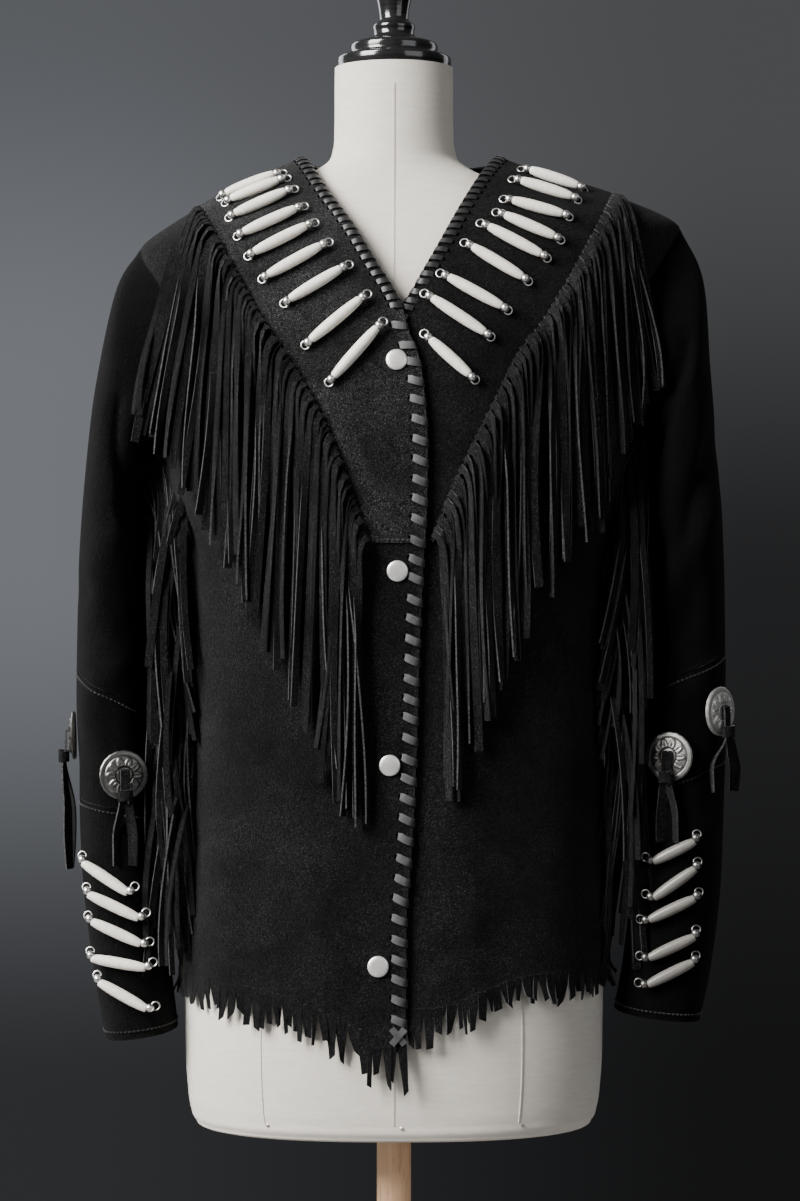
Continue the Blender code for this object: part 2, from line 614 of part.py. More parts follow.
def sleeve_rings(side, columns=SLEEVE_COLUMNS):
    """All rings of a sleeve: the armhole's, then one for each row of its table."""
    table = SLEEVES[side]
    rings = [armhole_ring(side, columns)]
    for ox, oz, ix, iz, my, hy in zip(*(table[k] for k in table)):
        middle = np.array(((ox + ix) / 2, my, (oz + iz) / 2))
        across = np.array(((ox - ix) / 2, 0.0, (oz - iz) / 2))
        ring = []
        for c in range(columns):
            turn = 2 * math.pi * c / columns
            u = math.cos(turn)
            v = math.sin(turn)
            u = math.copysign(abs(u) ** (2 / SLEEVE_POWER), u)
            v = math.copysign(abs(v) ** (2 / SLEEVE_POWER), v)
            ring.append(middle + u * across + np.array((0.0, -v * hy, 0.0)))
        rings.append(ring)
    return np.array(rings)


def sleeve_at(rings, row):
    """The ring's points at a row, which may differ from column to column."""
    count = len(rings)
    columns = rings.shape[1]
    row = np.broadcast_to(row, (columns,))
    points = np.zeros((columns, 3))
    for c in range(columns):
        for axis in range(3):
            points[c, axis] = curve(range(count), rings[:, c, axis], row[c])
    return points


def sleeve_grid(rings, rows):
    """Points and outward normals of a stretch of sleeve; rows holds one row per ring."""
    points = np.array([sleeve_at(rings, row) for row in rows])
    along = np.array([sleeve_at(rings, row + 0.06) - sleeve_at(rings, row - 0.06) for row in rows])
    around = np.roll(points, -1, axis=1) - np.roll(points, 1, axis=1)
    normals = np.cross(around, along)
    normals /= np.linalg.norm(normals, axis=2, keepdims=True)
    middle = points.mean(axis=1, keepdims=True)
    if np.sum(normals * (points - middle)) < 0:
        normals = -normals
    return points, normals


def sleeve_cut(side, top, columns=SLEEVE_COLUMNS):
    """Rows of a slanted seam, one for each column."""
    start, slant = top[side]
    turn = 2 * math.pi * np.arange(columns) / columns
    return start + slant * (1 - np.cos(turn)) / 2


def sleeve_piece(name, rings, start, stop, count):
    """A stretch of sleeve between two seams."""
    length = stop - start - 2 * SEAM_ROWS
    rows = [start + SEAM_ROWS + length * k / (count - 1) for k in range(count)]
    points, normals = sleeve_grid(rings, [np.broadcast_to(r, (SLEEVE_COLUMNS,)) for r in rows])
    return wall(name, points, points - CLOTH * normals, suede(), ring=True)


def cuff(name, side, rings):
    """The cuff, with its long beads raised in its outer points."""
    table = SLEEVES[side]
    turn = 2 * math.pi * np.arange(SLEEVE_COLUMNS) / SLEEVE_COLUMNS
    across = (1 - np.cos(turn)) / 2
    last = len(rings) - 1
    top = sleeve_cut(side, CUFF_TOP) + SEAM_ROWS
    rows = [top]
    raised = [np.zeros(SLEEVE_COLUMNS)]
    count = len(table["outer_z"])
    heights = np.array(table["outer_z"])[::-1]
    index = np.arange(1, count + 1)[::-1]
    front = np.sin(turn) > BEAD_FACE
    inside = (across > CUFF_BEAD_SPAN[0]) & (across < CUFF_BEAD_SPAN[1])
    for z, drop in zip(CUFF_BEADS[side]["z"], CUFF_BEADS[side]["drop"]):
        crest = np.interp(z, heights, index) - CUFF_BEAD_SPAN[0] * drop * CUFF_CREST_ROWS
        slanted = crest + across * drop * ROWS_A_METRE
        for shift, lift in ((-1, 0), (0, 1), (1, 0)):
            rows.append(slanted + shift * CUFF_BEAD_HALF * ROWS_A_METRE)
            raised.append(np.where(front & inside, lift * CUFF_BEAD_HEIGHT, 0.0))
    rows.append(np.full(SLEEVE_COLUMNS, float(last)))
    raised.append(np.zeros(SLEEVE_COLUMNS))
    points, normals = sleeve_grid(rings, rows)
    outer = points + np.array(raised)[:, :, None] * normals
    return wall(name, outer, points - CLOTH * normals, suede(), ring=True)


def sleeve(side):
    """A set-in sleeve in three pieces; returns its rings."""
    rings = sleeve_rings(side)
    band = sleeve_cut(side, BAND_TOP)
    wrist = sleeve_cut(side, CUFF_TOP)
    sleeve_piece("sleeve_upper_" + side, rings, np.zeros(SLEEVE_COLUMNS), band, 8)
    sleeve_piece("sleeve_band_" + side, rings, band, wrist, 3)
    cuff("sleeve_cuff_" + side, side, rings)
    return rings


# ---------------------------------------------------------------- what hangs outside
class Outside:
    """Finds the outermost cloth in front of or behind a place."""

    def __init__(self, names):
        verts = []
        faces = []
        for name in names:
            mesh = bpy.data.objects[name].data
            first = len(verts)
            verts += [v.co.copy() for v in mesh.vertices]
            mesh.calc_loop_triangles()
            faces += [[first + i for i in t.vertices] for t in mesh.loop_triangles]
        self.tree = BVHTree.FromPolygons(verts, faces)

    def cast(self, x, z, facing):
        """The first cloth met from a metre in front of or behind x and z."""
        return self.tree.ray_cast(Vector((x, facing, z)), Vector((0.0, -facing, 0.0)))

    def depth(self, x, z, facing=-1):
        """Depth of the outermost cloth at x and z, or None where there is none."""
        hit = self.cast(x, z, facing)
        return None if hit[0] is None else hit[0].y

    def face(self, x, z, facing=-1):
        """The outermost point at x and z and a normal averaged round it."""
        normal = Vector()
        step = NORMAL_STEP
        for dx, dz in ((0, 0), (step, 0), (-step, 0), (0, step), (0, -step)):
            near = self.cast(x + dx, z + dz, facing)
            if near[0] is not None:
                normal += near[1] if near[1].y * facing > 0 else -near[1]
        return self.cast(x, z, facing)[0], normal.normalized()


def fringe(name, columns, strands, mat):
    """A strip with strands fused to its lower edge.

    columns: for each cut across the strip, its top outer, top inner, lower inner and
    lower outer points. strands: for each cell of the strip, None or the strand's rings,
    each of four points: lower outer first and next column, then inner next and first.
    """
    verts = [p for column in columns for p in column]
    faces = [(0, 1, 2, 3)]
    last = 4 * (len(columns) - 1)
    faces.append((last, last + 1, last + 2, last + 3))
    for j, rings in enumerate(strands):
        a = 4 * j
        b = a + 4
        faces.append((a, b, b + 3, a + 3))
        faces.append((a + 1, b + 1, b + 2, a + 2))
        faces.append((a, b, b + 1, a + 1))
        if rings is None:
            faces.append((a + 3, b + 3, b + 2, a + 2))
            continue
        before = (a + 3, b + 3, b + 2, a + 2)
        for ring in rings:
            first = len(verts)
            verts += list(ring)
            now = (first, first + 1, first + 2, first + 3)
            for k in range(4):
                n = (k + 1) % 4
                faces.append((before[k], before[n], now[n], now[k]))
            before = now
        faces.append(before)
    return make_object(name, verts, faces, mat)


def strand_ring(centre, width, thick):
    """Four points of a strand's section: half width and half thickness as vectors."""
    outer = [centre - width + thick, centre + width + thick]
    return outer + [centre + width - thick, centre - width - thick]


def root_cuts(count, share):
    """Places along a strip, from 0 to 1, where its cells part: a root in every other."""
    margin = (1 - share) / 2
    cuts = [0.0]
    for k in range(count):
        cuts += [(k + margin) / count, (k + 1 - margin) / count]
    return cuts + [1.0]


def strip_columns(places, normals, down):
    """Cuts across a strip from its upper edge's places, with its thickness and height."""
    columns = []
    for place, normal, fall in zip(places, normals, down):
        top = place + STRIP_GAP * fall
        low = place + (STRIP_GAP + STRIP) * fall
        columns.append([top + CLOTH * normal, top, low, low + CLOTH * normal])
    return columns


def hanging_fringe(name, count, edge_at, ends, outside, facing):
    """A fringe along a slanted edge, whose strands hang over what is below them.

    edge_at gives the edge's place, normal and the strip's way down, from 0 to 1.
    """
    front = facing < 0
    clearance = STRAND_CLEAR["front" if front else "back"]
    frames = [edge_at(t) for t in root_cuts(count, ROOT_SHARE["edge"])]
    columns = strip_columns(*zip(*frames))
    strands = [None]
    for k in range(count):
        t = (k + 0.5) / count
        left = Vector(columns[2 * k + 1][3])
        right = Vector(columns[2 * k + 2][3])
        inner = Vector(columns[2 * k + 1][2]) + Vector(columns[2 * k + 2][2])
        root = (left + right + inner) / 4
        end_x = float(curve(ends["along"], ends["x"], t))
        end_z = float(curve(ends["along"], ends["z"], t)) - 0.006 * math.sin(k * 2.4)
        across = abs(right.x - left.x)
        half = max(STRAND_HALF["least"], min(STRAND_HALF["most"], STRAND_HALF["share"] * across))
        way = math.copysign(1.0, right.x - left.x)
        rings = []
        depth = root.y
        last = root
        shoulder = t < SHOULDER_SHARE or (not front and t > 1 - SHOULDER_SHARE)
        steps = STRAND_STEPS
        if shoulder:
            steps = FRONT_SHOULDER_STEPS if front else BACK_SHOULDER_STEPS
        way_down = []
        for step in range(1, 13):
            s = step / 12
            x = root.x + (end_x - root.x) * (0.55 * s + 0.45 * ease(s))
            z = root.z + (end_z - root.z) * s
            for side in (-1, 1):
                hit = outside.depth(x + side * half, z, facing)
                if hit is not None:
                    reach = hit + facing * clearance
                    depth = min(depth, reach) if front else max(depth, reach)
            way_down.append((x, depth, z))
        for step in steps:
            x, _, z = way_down[step - 1]
            # in front a strand already stands off as far as it does one step lower
            ahead = shoulder and front
            depth = way_down[min(step, 11) if ahead else step - 1][1]
            centre = Vector((x, depth, z))
            turn = 0.5 * math.sin(k * 1.7 + step)
            width = Vector((way * math.cos(turn), math.sin(turn) * 0.4, 0.0)).normalized()
            path = (centre - last).normalized() if step < steps[-1] else Vector((0.0, 0.0, -1.0))
            last = centre
            width = (width - width.dot(path) * path).normalized()
            thick = path.cross(width)
            if thick.dot(Vector((0.0, facing, 0.5))) < 0:
                thick = -thick
            rings.append(strand_ring(centre, half * width, STRAND_THICK / 2 * thick))
        strands += [rings, None]
    return fringe(name, columns, strands, suede())


def edge_frames(line, cloth, facing, first, last):
    """The strip's frame along a line of points on the cloth, from its start, 0, to 1.

    first and last are the lengths of the line that it leaves free.
    """
    run = np.concatenate([[0.0], np.cumsum(np.linalg.norm(np.diff(line, axis=0), axis=1))])

    def at(t):
        along = first + (run[-1] - first - last) * t
        place = np.array([np.interp(along, run, line[:, k]) for k in range(3)])
        ahead = np.array([np.interp(along + 0.003, run, line[:, k]) for k in range(3)])
        behind = np.array([np.interp(along - 0.003, run, line[:, k]) for k in range(3)])
        way = ahead - behind
        normal = torso_normal(place, facing)
        down = np.cross(normal, way)
        down /= np.linalg.norm(down)
        if down[2] > 0:
            down = -down
        place = Vector(place)
        normal = Vector(normal)
        low = place + (STRIP_GAP + STRIP) * Vector(down)
        rise = 0.0
        for share in (0.3, 0.65, 1.0):
            spot = place.lerp(low, share)
            hit = cloth.tree.ray_cast(spot + 0.03 * normal, -normal, 0.05)
            if hit[0] is not None:
                rise = max(rise, (hit[0] - spot).dot(normal))
        return place + (rise + STRIP_LIFT) * normal, normal, Vector(down)

    return at


def hem_fringe(name, points, normals, count, length):
    """The cut edge below a panel's lowest row: a narrow strip and its short strands."""
    cuts = root_cuts(count, ROOT_SHARE["hem"])
    run = np.concatenate([[0.0], np.cumsum(np.linalg.norm(np.diff(points, axis=0), axis=1))])

    def place(t, below):
        along = run[-1] * t
        point = Vector([float(np.interp(along, run, points[:, k])) for k in range(3)])
        normal = Vector([float(np.interp(along, run, normals[:, k])) for k in range(3)])
        normal.z = 0.0
        normal.normalize()
        return point - CLOTH * normal - Vector((0.0, 0.0, below)), normal

    columns = []
    for t in cuts:
        top, normal = place(t, HEM_GAP)
        low, _ = place(t, HEM_GAP + HEM_STRIP)
        columns.append([top + CLOTH * normal, top, low, low + CLOTH * normal])
    strands = [None]
    for k in range(count):
        rings = []
        middle = (cuts[2 * k + 1] + cuts[2 * k + 2]) / 2
        full = float(curve(length["along"], length["reach"], middle))
        full *= 1.0 + 0.16 * math.sin(k * 2.1)
        for s in (0.5, 1.0):
            spread = 1.0 - 0.25 * s
            a, normal = place(middle + (cuts[2 * k + 1] - middle) * spread, HEM_GAP + full * s)
            b, _ = place(middle + (cuts[2 * k + 2] - middle) * spread, HEM_GAP + full * s)
            lean = 0.002 * s * math.sin(k * 1.3) * normal
            rings.append([a + CLOTH * normal + lean, b + CLOTH * normal + lean, b + lean, a + lean])
        strands += [rings, None]
    return fringe(name, columns, strands, suede())


def body_side(side, depth, low, high):
    """How far out from the middle the body reaches at a depth, between two heights."""
    reach = 0.0
    for z in np.linspace(low, high, 9):
        middle, half, front, _ = torso_section(z)
        bulge = 1.0 - min(1.0, abs(depth) / front) ** SECTION_POWER
        reach = max(reach, SIGN[side] * middle + half * bulge ** (1 / SECTION_POWER))
    return reach


def sleeve_side(side, depth, low, high):
    """How near to the middle the sleeve comes at a depth, between two heights."""
    table = SLEEVES[side]
    heights = table["inner_z"][::-1]
    reach = 1.0
    for z in np.linspace(low, high, 9):
        row = {}
        for name in ("inner_x", "outer_x", "middle_y", "half_y"):
            row[name] = np.interp(z, heights, table[name][::-1])
        across = abs(row["outer_x"] - row["inner_x"]) / 2
        middle = abs(row["outer_x"] + row["inner_x"]) / 2
        share = min(1.0, abs(depth - row["middle_y"]) / row["half_y"])
        bulge = (1.0 - share ** SLEEVE_POWER) ** (1 / SLEEVE_POWER)
        reach = min(reach, middle - across * bulge)
    return reach


def sleeve_fringe(side, rings):
    """The fringe in a sleeve's inner seam, hanging between the sleeve and the body.

    Its strands hang one behind another, the highest in front, so that none cross.
    """
    first_row, last_row = SLEEVE_FRINGE_ROWS
    inward = Vector((-SIGN[side], 0.0, 0.0))
    forward = Vector((0.0, -1.0, 0.0))
    columns = []
    for t in root_cuts(SLEEVE_STRANDS, SLEEVE_ROOT_SHARE):
        seam = sleeve_at(rings, first_row + (last_row - first_row) * t)[SLEEVE_FRINGE_COLUMN]
        back = Vector(seam) + SLEEVE_STRIP_GAP * inward - STRIP / 2 * forward
        front = back + STRIP * forward
        columns.append([back + CLOTH * inward, back, front, front + CLOTH * inward])
    strands = [None]
    for k in range(SLEEVE_STRANDS):
        t = (k + 0.5) / SLEEVE_STRANDS
        root = (Vector(columns[2 * k + 1][3]) + Vector(columns[2 * k + 2][3])) / 2
        length = curve(SLEEVE_FRINGE_LENGTH["along"], SLEEVE_FRINGE_LENGTH["length"], t)
        length *= 1.0 + 0.06 * math.sin(k * 2.3)
        ahead = SLEEVE_STRAND_AHEAD + SLEEVE_STRAND_PITCH * (SLEEVE_STRANDS - k)
        inner = body_side(side, root.y - ahead, root.z - length, root.z) + SLEEVE_STRAND_CLEAR
        outer = sleeve_side(side, root.y - ahead, root.z - length, root.z) - SLEEVE_STRAND_CLEAR
        outer = min(outer, abs(root.x) + SLEEVE_STRAND_SPREAD * ahead)
        reach = inner + (outer - inner) * ((0.35 + k * 0.618) % 1.0)
        way = Vector((SIGN[side] * reach - root.x, -ahead, 0.0))
        fall = SLEEVE_STRAND_FALL + 0.45 * ahead
        sway = 8.0 * math.sin(k * 1.9)
        # its sections: share of the way out, drop, and dip and twist in degrees
        sections = ((0.3, 0.3 * fall, 45, 25), (1.0, fall, 90, 70), (1.0, length, 90, 90))
        strand = []
        for share, drop, dip, twist in sections:
            dip = math.radians(dip)
            twist = math.radians(twist + sway)
            flat = Vector((0.0, math.sin(dip), -math.cos(dip)))
            width = math.cos(twist) * flat + math.sin(twist) * inward
            thick = math.cos(twist) * inward - math.sin(twist) * flat
            centre = root + share * way - Vector((0.0, 0.0, drop))
            half = SLEEVE_STRAND_HALF * width
            strand.append(strand_ring(centre, half, STRAND_THICK / 2 * thick))
        strands += [strand, None]
    return fringe("fringe_sleeve_" + side, columns, strands, suede())


# ---------------------------------------------------------------- hardware
def pose_on(point, normal, lift=0.0):
    """A matrix with Z along the normal, at a point moved out by lift."""
    turn = normal.to_track_quat("Z", "Y").to_matrix().to_4x4()
    return Matrix.Translation(point + lift * normal) @ turn


def snap(name, x, z, outside):
    point, normal = outside.face(x, z)
    radii = [SNAP_RADIUS * share for share in SNAP_PROFILE["r"]]
    return lathe(name, radii, SNAP_PROFILE["z"], silver(), 14, pose_on(point, normal, SNAP_GAP))


def hairpipe(name, x0, z0, x1, z1, outside):
    """A long bone bead, fat in the middle, lying on the yoke between two points."""
    start, n0 = outside.face(x0, z0)
    end, n1 = outside.face(x1, z1)
    mid, n2 = outside.face((x0 + x1) / 2, (z0 + z1) / 2)
    normal = (n0 + n1 + n2).normalized()
    rise = max(0.0, (mid - (start + end) / 2).dot(normal))
    lift = BEAD_RADIUS + rise + BEAD_GAP
    axis = end - start
    turn = axis.to_track_quat("Z", "Y").to_matrix().to_4x4()
    place = Matrix.Translation(start + lift * normal) @ turn
    length = axis.length
    radii = [BEAD_RADIUS * share for share in BEAD_PROFILE["r"]]
    heights = [length * share for share in BEAD_PROFILE["along"]]
    return lathe(name, radii, heights, bone(), BEAD_SIDES, place)


def concho(name, point, normal):
    radii = [CONCHO_RADIUS * share for share in CONCHO_PROFILE["r"]]
    place = pose_on(point, normal, CONCHO_GAP)
    return lathe(name, radii, CONCHO_PROFILE["z"], silver(), 20, place)


def thong(name, point, normal, tail, spread):
    """A knotted suede thong below a concho, with two hanging tails."""
    flat = Vector((normal.x, normal.y, 0.0)).normalized()
    side = Vector((-flat.y, flat.x, 0.0))
    top = point + THONG["out"] * flat - Vector((0.0, 0.0, THONG["down"]))
    thick = THONG["thick"] * flat
    columns = []
    for offset in (-THONG["half"], -THONG["slit"], THONG["slit"], THONG["half"]):
        edge = top + offset * side
        low = edge - Vector((0.0, 0.0, THONG["knot"]))
        columns.append([edge + thick, edge, low, low + thick])
    strands = []
    for way in (-1, 0, 1):
        if way == 0:
            strands.append(None)
            continue
        rings = []
        for s in (0.35, 1.0):
            centre = top - Vector((0.0, 0.0, THONG["knot"] + tail * s))
            centre += side * way * (THONG["tail_off"] + spread * s) + thick / 2
            rings.append(strand_ring(centre, side * THONG["tail_half"], flat * THONG["tail_thick"]))
        strands.append(rings)
    return fringe(name, columns, strands, suede())


# ---------------------------------------------------------------- the stand
def bust_form():
    verts = []
    rows = len(FORM["z"])
    for z, half, front, back, power in zip(*(FORM[k] for k in ("z", "half", "front", "back", "power"))):
        for k in range(FORM_COLUMNS):
            a = 2 * math.pi * k / FORM_COLUMNS
            c = math.cos(a)
            s = math.sin(a)
            x = half * math.copysign(abs(c) ** (2 / power), c)
            y = (back if s > 0 else front) * math.copysign(abs(s) ** (2 / power), s)
            verts.append((x, y, z))
    faces = []
    for r in range(rows - 1):
        for k in range(FORM_COLUMNS):
            n = (k + 1) % FORM_COLUMNS
            a = r * FORM_COLUMNS
            b = a + FORM_COLUMNS
            faces.append((a + k, a + n, b + n, b + k))
    faces.append(tuple(range(FORM_COLUMNS)))
    faces.append(tuple((rows - 1) * FORM_COLUMNS + k for k in range(FORM_COLUMNS)))
    return make_object("bust_form", verts, faces, linen())


def stand():
    bust_form()
    neck_middle = Matrix.Translation((0.0, NECK_BACK, 0.0))
    lathe("neck_finial", FINIAL["r"], FINIAL["z"], black_gloss(), 14, neck_middle)
    bottom = FORM["z"][0]
    low = bottom - COLLAR_HEIGHT
    lathe("pole_collar", (COLLAR_RADIUS, COLLAR_RADIUS), (low, bottom - SEAM), black_gloss(), 16)
    heights = (BASE_HEIGHT + SEAM, low - SEAM)
    lathe("pole", (POLE_RADIUS, POLE_RADIUS), heights, beech(), 16)
    radii = [BASE_RADIUS - inset for inset in BASE_PROFILE["in"]]
    lathe("base", radii, BASE_PROFILE["z"], beech(), 26)


# ---------------------------------------------------------------- the whole
def main():
    for obj in list(bpy.data.objects):
        bpy.data.objects.remove(obj, do_unlink=True)

    grids = {side: front_grid(side) for side in ("right", "left")}
    for side, (points, normals, covers) in grids.items():
        panel("front_" + side, points, normals)
        laid_on("yoke_front_" + side, points, normals, covers)
    points, normals = back_grid()
    panel("back_panel", points, normals)
    seam = len(BACK_LOW) - 1
    covers = np.arange(len(points) - 1)[:, None] >= seam
    laid_on("yoke_back", points, normals, np.repeat(covers, BACK_CELLS, axis=1))
    rings = {side: sleeve(side) for side in ("right", "left")}

    cloth = Outside([o.name for o in bpy.data.objects])
    for side, ends in (("right", YOKE_FRINGE_RIGHT), ("left", YOKE_FRINGE_LEFT)):
        rows = np.flatnonzero(grids[side][2][:, 0])
        top = int(np.flatnonzero(grids[side][2][:, -1])[0])
        line = grids[side][0][rows[0]:top + 1, YOKE_CELLS][::-1]
        frames = edge_frames(line, cloth, -1, *YOKE_FRINGE_FREE)
        hanging_fringe("fringe_yoke_" + side, YOKE_STRANDS, frames, ends, cloth, -1)
    frames = edge_frames(points[seam], cloth, 1, *BACK_FRINGE_FREE)
    hanging_fringe("fringe_back", BACK_STRANDS, frames, BACK_FRINGE, cloth, 1)
    for side in ("right", "left"):
        grid, facing, _ = grids[side]
        hem_fringe("fringe_hem_" + side, grid[0], facing[0], HEM_STRANDS, HEM_REACH[side])
    hem_fringe("fringe_hem_back", points[0], normals[0], HEM_BACK_STRANDS, HEM_REACH["back"])
    for side in ("right", "left"):
        sleeve_fringe(side, rings[side])

    for k, (x, z) in enumerate(zip(SNAPS["x"], SNAPS["z"])):
        snap(f"snap_{k + 1}", x, z, cloth)
    for side, table in (("right", BEADS_RIGHT), ("left", BEADS_LEFT)):
        for k, ends in enumerate(zip(table["x0"], table["z0"], table["x1"], table["z1"])):
            hairpipe(f"hairpipe_{side}_{k + 1}", *ends, cloth)
    for name, (x, y, z), tail, spread, turn in CONCHOS:
        side = "right" if x < 0 else "left"
        ring = sleeve_at(rings[side], 7.3 if side == "right" else 7.0)
        middle = Vector(ring.mean(axis=0))
        aim = Vector((x - middle.x, y - middle.y, 0.0)).normalized()
        hit = cloth.tree.ray_cast(Vector((x, y, z)) + 0.3 * aim, -aim)
        normal = hit[1] if hit[1].dot(aim) > 0 else -hit[1]
        normal = (normal - Vector((0.0, turn, 0.0))).normalized()
        concho("concho_" + name, hit[0], normal)
        thong("thong_" + name, hit[0], normal, tail, spread)
    stand()


main()
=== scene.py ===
"""Fringed black suede jacket on a dress form: the looks, dressed over the CAD frame.

Metres, +Z up. The front of the jacket faces -Y; "right" is the wearer's right, at -X.
"""

import math

import bpy
import numpy as np
from mathutils import Matrix, Vector
from mathutils.bvhtree import BVHTree


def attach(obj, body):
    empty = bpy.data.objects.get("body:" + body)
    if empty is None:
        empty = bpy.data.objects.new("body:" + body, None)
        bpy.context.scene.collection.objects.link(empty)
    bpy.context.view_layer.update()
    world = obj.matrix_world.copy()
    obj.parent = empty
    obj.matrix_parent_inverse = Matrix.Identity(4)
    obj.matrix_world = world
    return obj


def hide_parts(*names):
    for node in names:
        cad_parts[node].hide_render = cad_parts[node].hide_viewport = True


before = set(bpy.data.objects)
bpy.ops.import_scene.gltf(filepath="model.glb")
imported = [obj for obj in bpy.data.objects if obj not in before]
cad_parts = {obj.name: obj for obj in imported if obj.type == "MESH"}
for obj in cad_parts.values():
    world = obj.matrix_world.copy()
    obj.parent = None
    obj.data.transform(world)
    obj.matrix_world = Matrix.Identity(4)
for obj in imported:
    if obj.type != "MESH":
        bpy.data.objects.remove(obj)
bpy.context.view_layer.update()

SIDES = ("right", "left")

# ---------------- sizes shared with the CAD
CLOTH = 0.0014
SEAM = 0.00035
LAP_DROP = 0.0050
LAP_RAMP = 0.032
SECTION_POWER = 2.35
SMALL_STEP = 0.0004
NECK_TOP = 1.4035
YOKE_BOTTOM = 1.0880

TORSO = {
    "z": (0.6, 0.7, 0.78, 0.88, 0.96, 1.04, 1.12, 1.18, 1.24, 1.29, 1.334, 1.35, 1.364, 1.378, 1.392,
          1.404),
    "right": (0.178, 0.177, 0.1745, 0.17, 0.169, 0.174, 0.183, 0.189, 0.195, 0.201, 0.204, 0.182, 0.159,
              0.132, 0.102, 0.074),
    "left": (0.178, 0.1775, 0.176, 0.1725, 0.1715, 0.177, 0.187, 0.194, 0.206, 0.218, 0.233, 0.232, 0.205,
             0.166, 0.118, 0.086),
    "front": (0.13, 0.13, 0.129, 0.127, 0.126, 0.129, 0.134, 0.134, 0.126, 0.112, 0.092, 0.082, 0.072,
              0.061, 0.049, 0.038),
    "back": (0.12, 0.12, 0.118, 0.11, 0.104, 0.105, 0.11, 0.114, 0.116, 0.113, 0.102, 0.096, 0.09, 0.083,
             0.075, 0.068),
}
EDGES = {
    "right": {
        "z": (0.65, 0.7077, 0.7858, 0.8482, 0.9263, 1.0044, 1.0746, 1.1215, 1.1995, 1.2378, 1.2548,
              1.2744, 1.3111, 1.3429, 1.3689, 1.404),
        "x": (0.0, -0.0008, 0.0086, 0.0141, 0.018, 0.0203, 0.0234, 0.0258, 0.0242, 0.018, 0.011, 0.006,
              -0.015, -0.0335, -0.0514, -0.072),
    },
    "left": {
        "z": (0.65, 1.15, 1.25, 1.275, 1.2956, 1.3253, 1.3576, 1.391, 1.404),
        "x": (-0.014, -0.012, -0.008, 0.0066, 0.0196, 0.0363, 0.0536, 0.0737, 0.083),
    },
}
YOKES = {
    "right": {
        "z": (1.088, 1.135, 1.1773, 1.2126, 1.2725, 1.3178, 1.362),
        "x": (-0.0225, -0.0384, -0.0548, -0.0736, -0.1118, -0.1368, -0.1625),
    },
    "left": {
        "z": (1.088, 1.1046, 1.1396, 1.1682, 1.2011, 1.2341, 1.263, 1.295, 1.3336, 1.3725),
        "x": (0.032, 0.0383, 0.0525, 0.0664, 0.083, 0.0997, 0.1212, 0.1408, 0.1615, 0.183),
    },
}
BACK_YOKE = {"middle": 1.150, "right": 1.362, "left": 1.3725}
ARMHOLE = {"right": (1.168, 1.334), "left": (1.172, 1.350)}     # heights of the armpit and of the tip
ARMHOLE_OPEN = 0.47         # the widest angle that it takes from each face
SLEEVES = {
    "right": {
        "outer_x": (-0.226, -0.242, -0.25, -0.2565, -0.259, -0.2595, -0.257, -0.256, -0.252, -0.243,
                    -0.2345),
        "outer_z": (1.298, 1.225, 1.165, 1.09, 1.02, 0.96, 0.908, 0.858, 0.8, 0.735, 0.688),
        "inner_x": (-0.196, -0.201, -0.202, -0.201, -0.199, -0.1975, -0.196, -0.1935, -0.188, -0.1815,
                    -0.1765),
        "inner_z": (1.156, 1.138, 1.112, 1.068, 1.008, 0.952, 0.902, 0.853, 0.797, 0.738, 0.696),
    },
    "left": {
        "outer_x": (0.252, 0.258, 0.263, 0.269, 0.271, 0.2712, 0.271, 0.269, 0.266, 0.258, 0.249),
        "outer_z": (1.306, 1.235, 1.175, 1.095, 1.03, 0.97, 0.918, 0.865, 0.806, 0.745, 0.703),
        "inner_x": (0.21, 0.208, 0.2065, 0.206, 0.205, 0.204, 0.202, 0.199, 0.194, 0.187, 0.18),
        "inner_z": (1.162, 1.144, 1.118, 1.075, 1.018, 0.962, 0.91, 0.86, 0.805, 0.748, 0.711),
    },
}
SLEEVE_MIDDLE_Y = (0.0, 0.002, 0.004, 0.006, 0.008, 0.006, 0.002, -0.002, -0.006, -0.01, -0.012)
SLEEVE_HALF_Y = (0.068, 0.073, 0.075, 0.073, 0.07, 0.067, 0.064, 0.061, 0.057, 0.052, 0.049)
BAND_TOP = {"right": (5.50, 0.50), "left": (5.40, 0.45)}
CUFF_TOP = {"right": (7.50, 0.15), "left": (7.00, 0.40)}

# ---------------- camera, light and floor
CAMERA_DISTANCE = 2.5
CAMERA_HEIGHT = 1.043
CAMERA_SIDE = 0.005
SENSOR = 36.0           # on the picture's long side
FOCAL = 91.4


def place_camera():
    """A level view from the front."""
    data = bpy.data.cameras.new("camera")
    data.sensor_width = SENSOR
    data.lens = FOCAL
    data.clip_end = 30
    camera = bpy.data.objects.new("camera", data)
    camera.location = (CAMERA_SIDE, -CAMERA_DISTANCE, CAMERA_HEIGHT)
    camera.rotation_euler = (math.radians(90), 0, 0)
    bpy.context.collection.objects.link(camera)
    bpy.context.scene.camera = camera


def area_light(name, place, aim, size, power, colour):
    data = bpy.data.lights.new(name, "AREA")
    data.shape = "RECTANGLE"
    data.size, data.size_y = size
    data.energy = power
    data.color = colour
    light = bpy.data.objects.new(name, data)
    light.location = place
    light.rotation_euler = (Vector(aim) - Vector(place)).to_track_quat("-Z", "Y").to_euler()
    bpy.context.collection.objects.link(light)


# How brightly each side of the wall is lit, and between which heights it nears its top
STUDIO_WALL = {
    "lit": {"tint": (0.955, 1.0, 1.09), "top": 0.112, "middle": 0.180, "bottom": 0.0315,
            "rise": (0.071, 0.193)},
    "shaded": {"tint": (0.98, 1.0, 1.05), "top": 0.076, "middle": 0.0192, "bottom": 0.0095,
               "rise": (0.0, 0.155)},
}


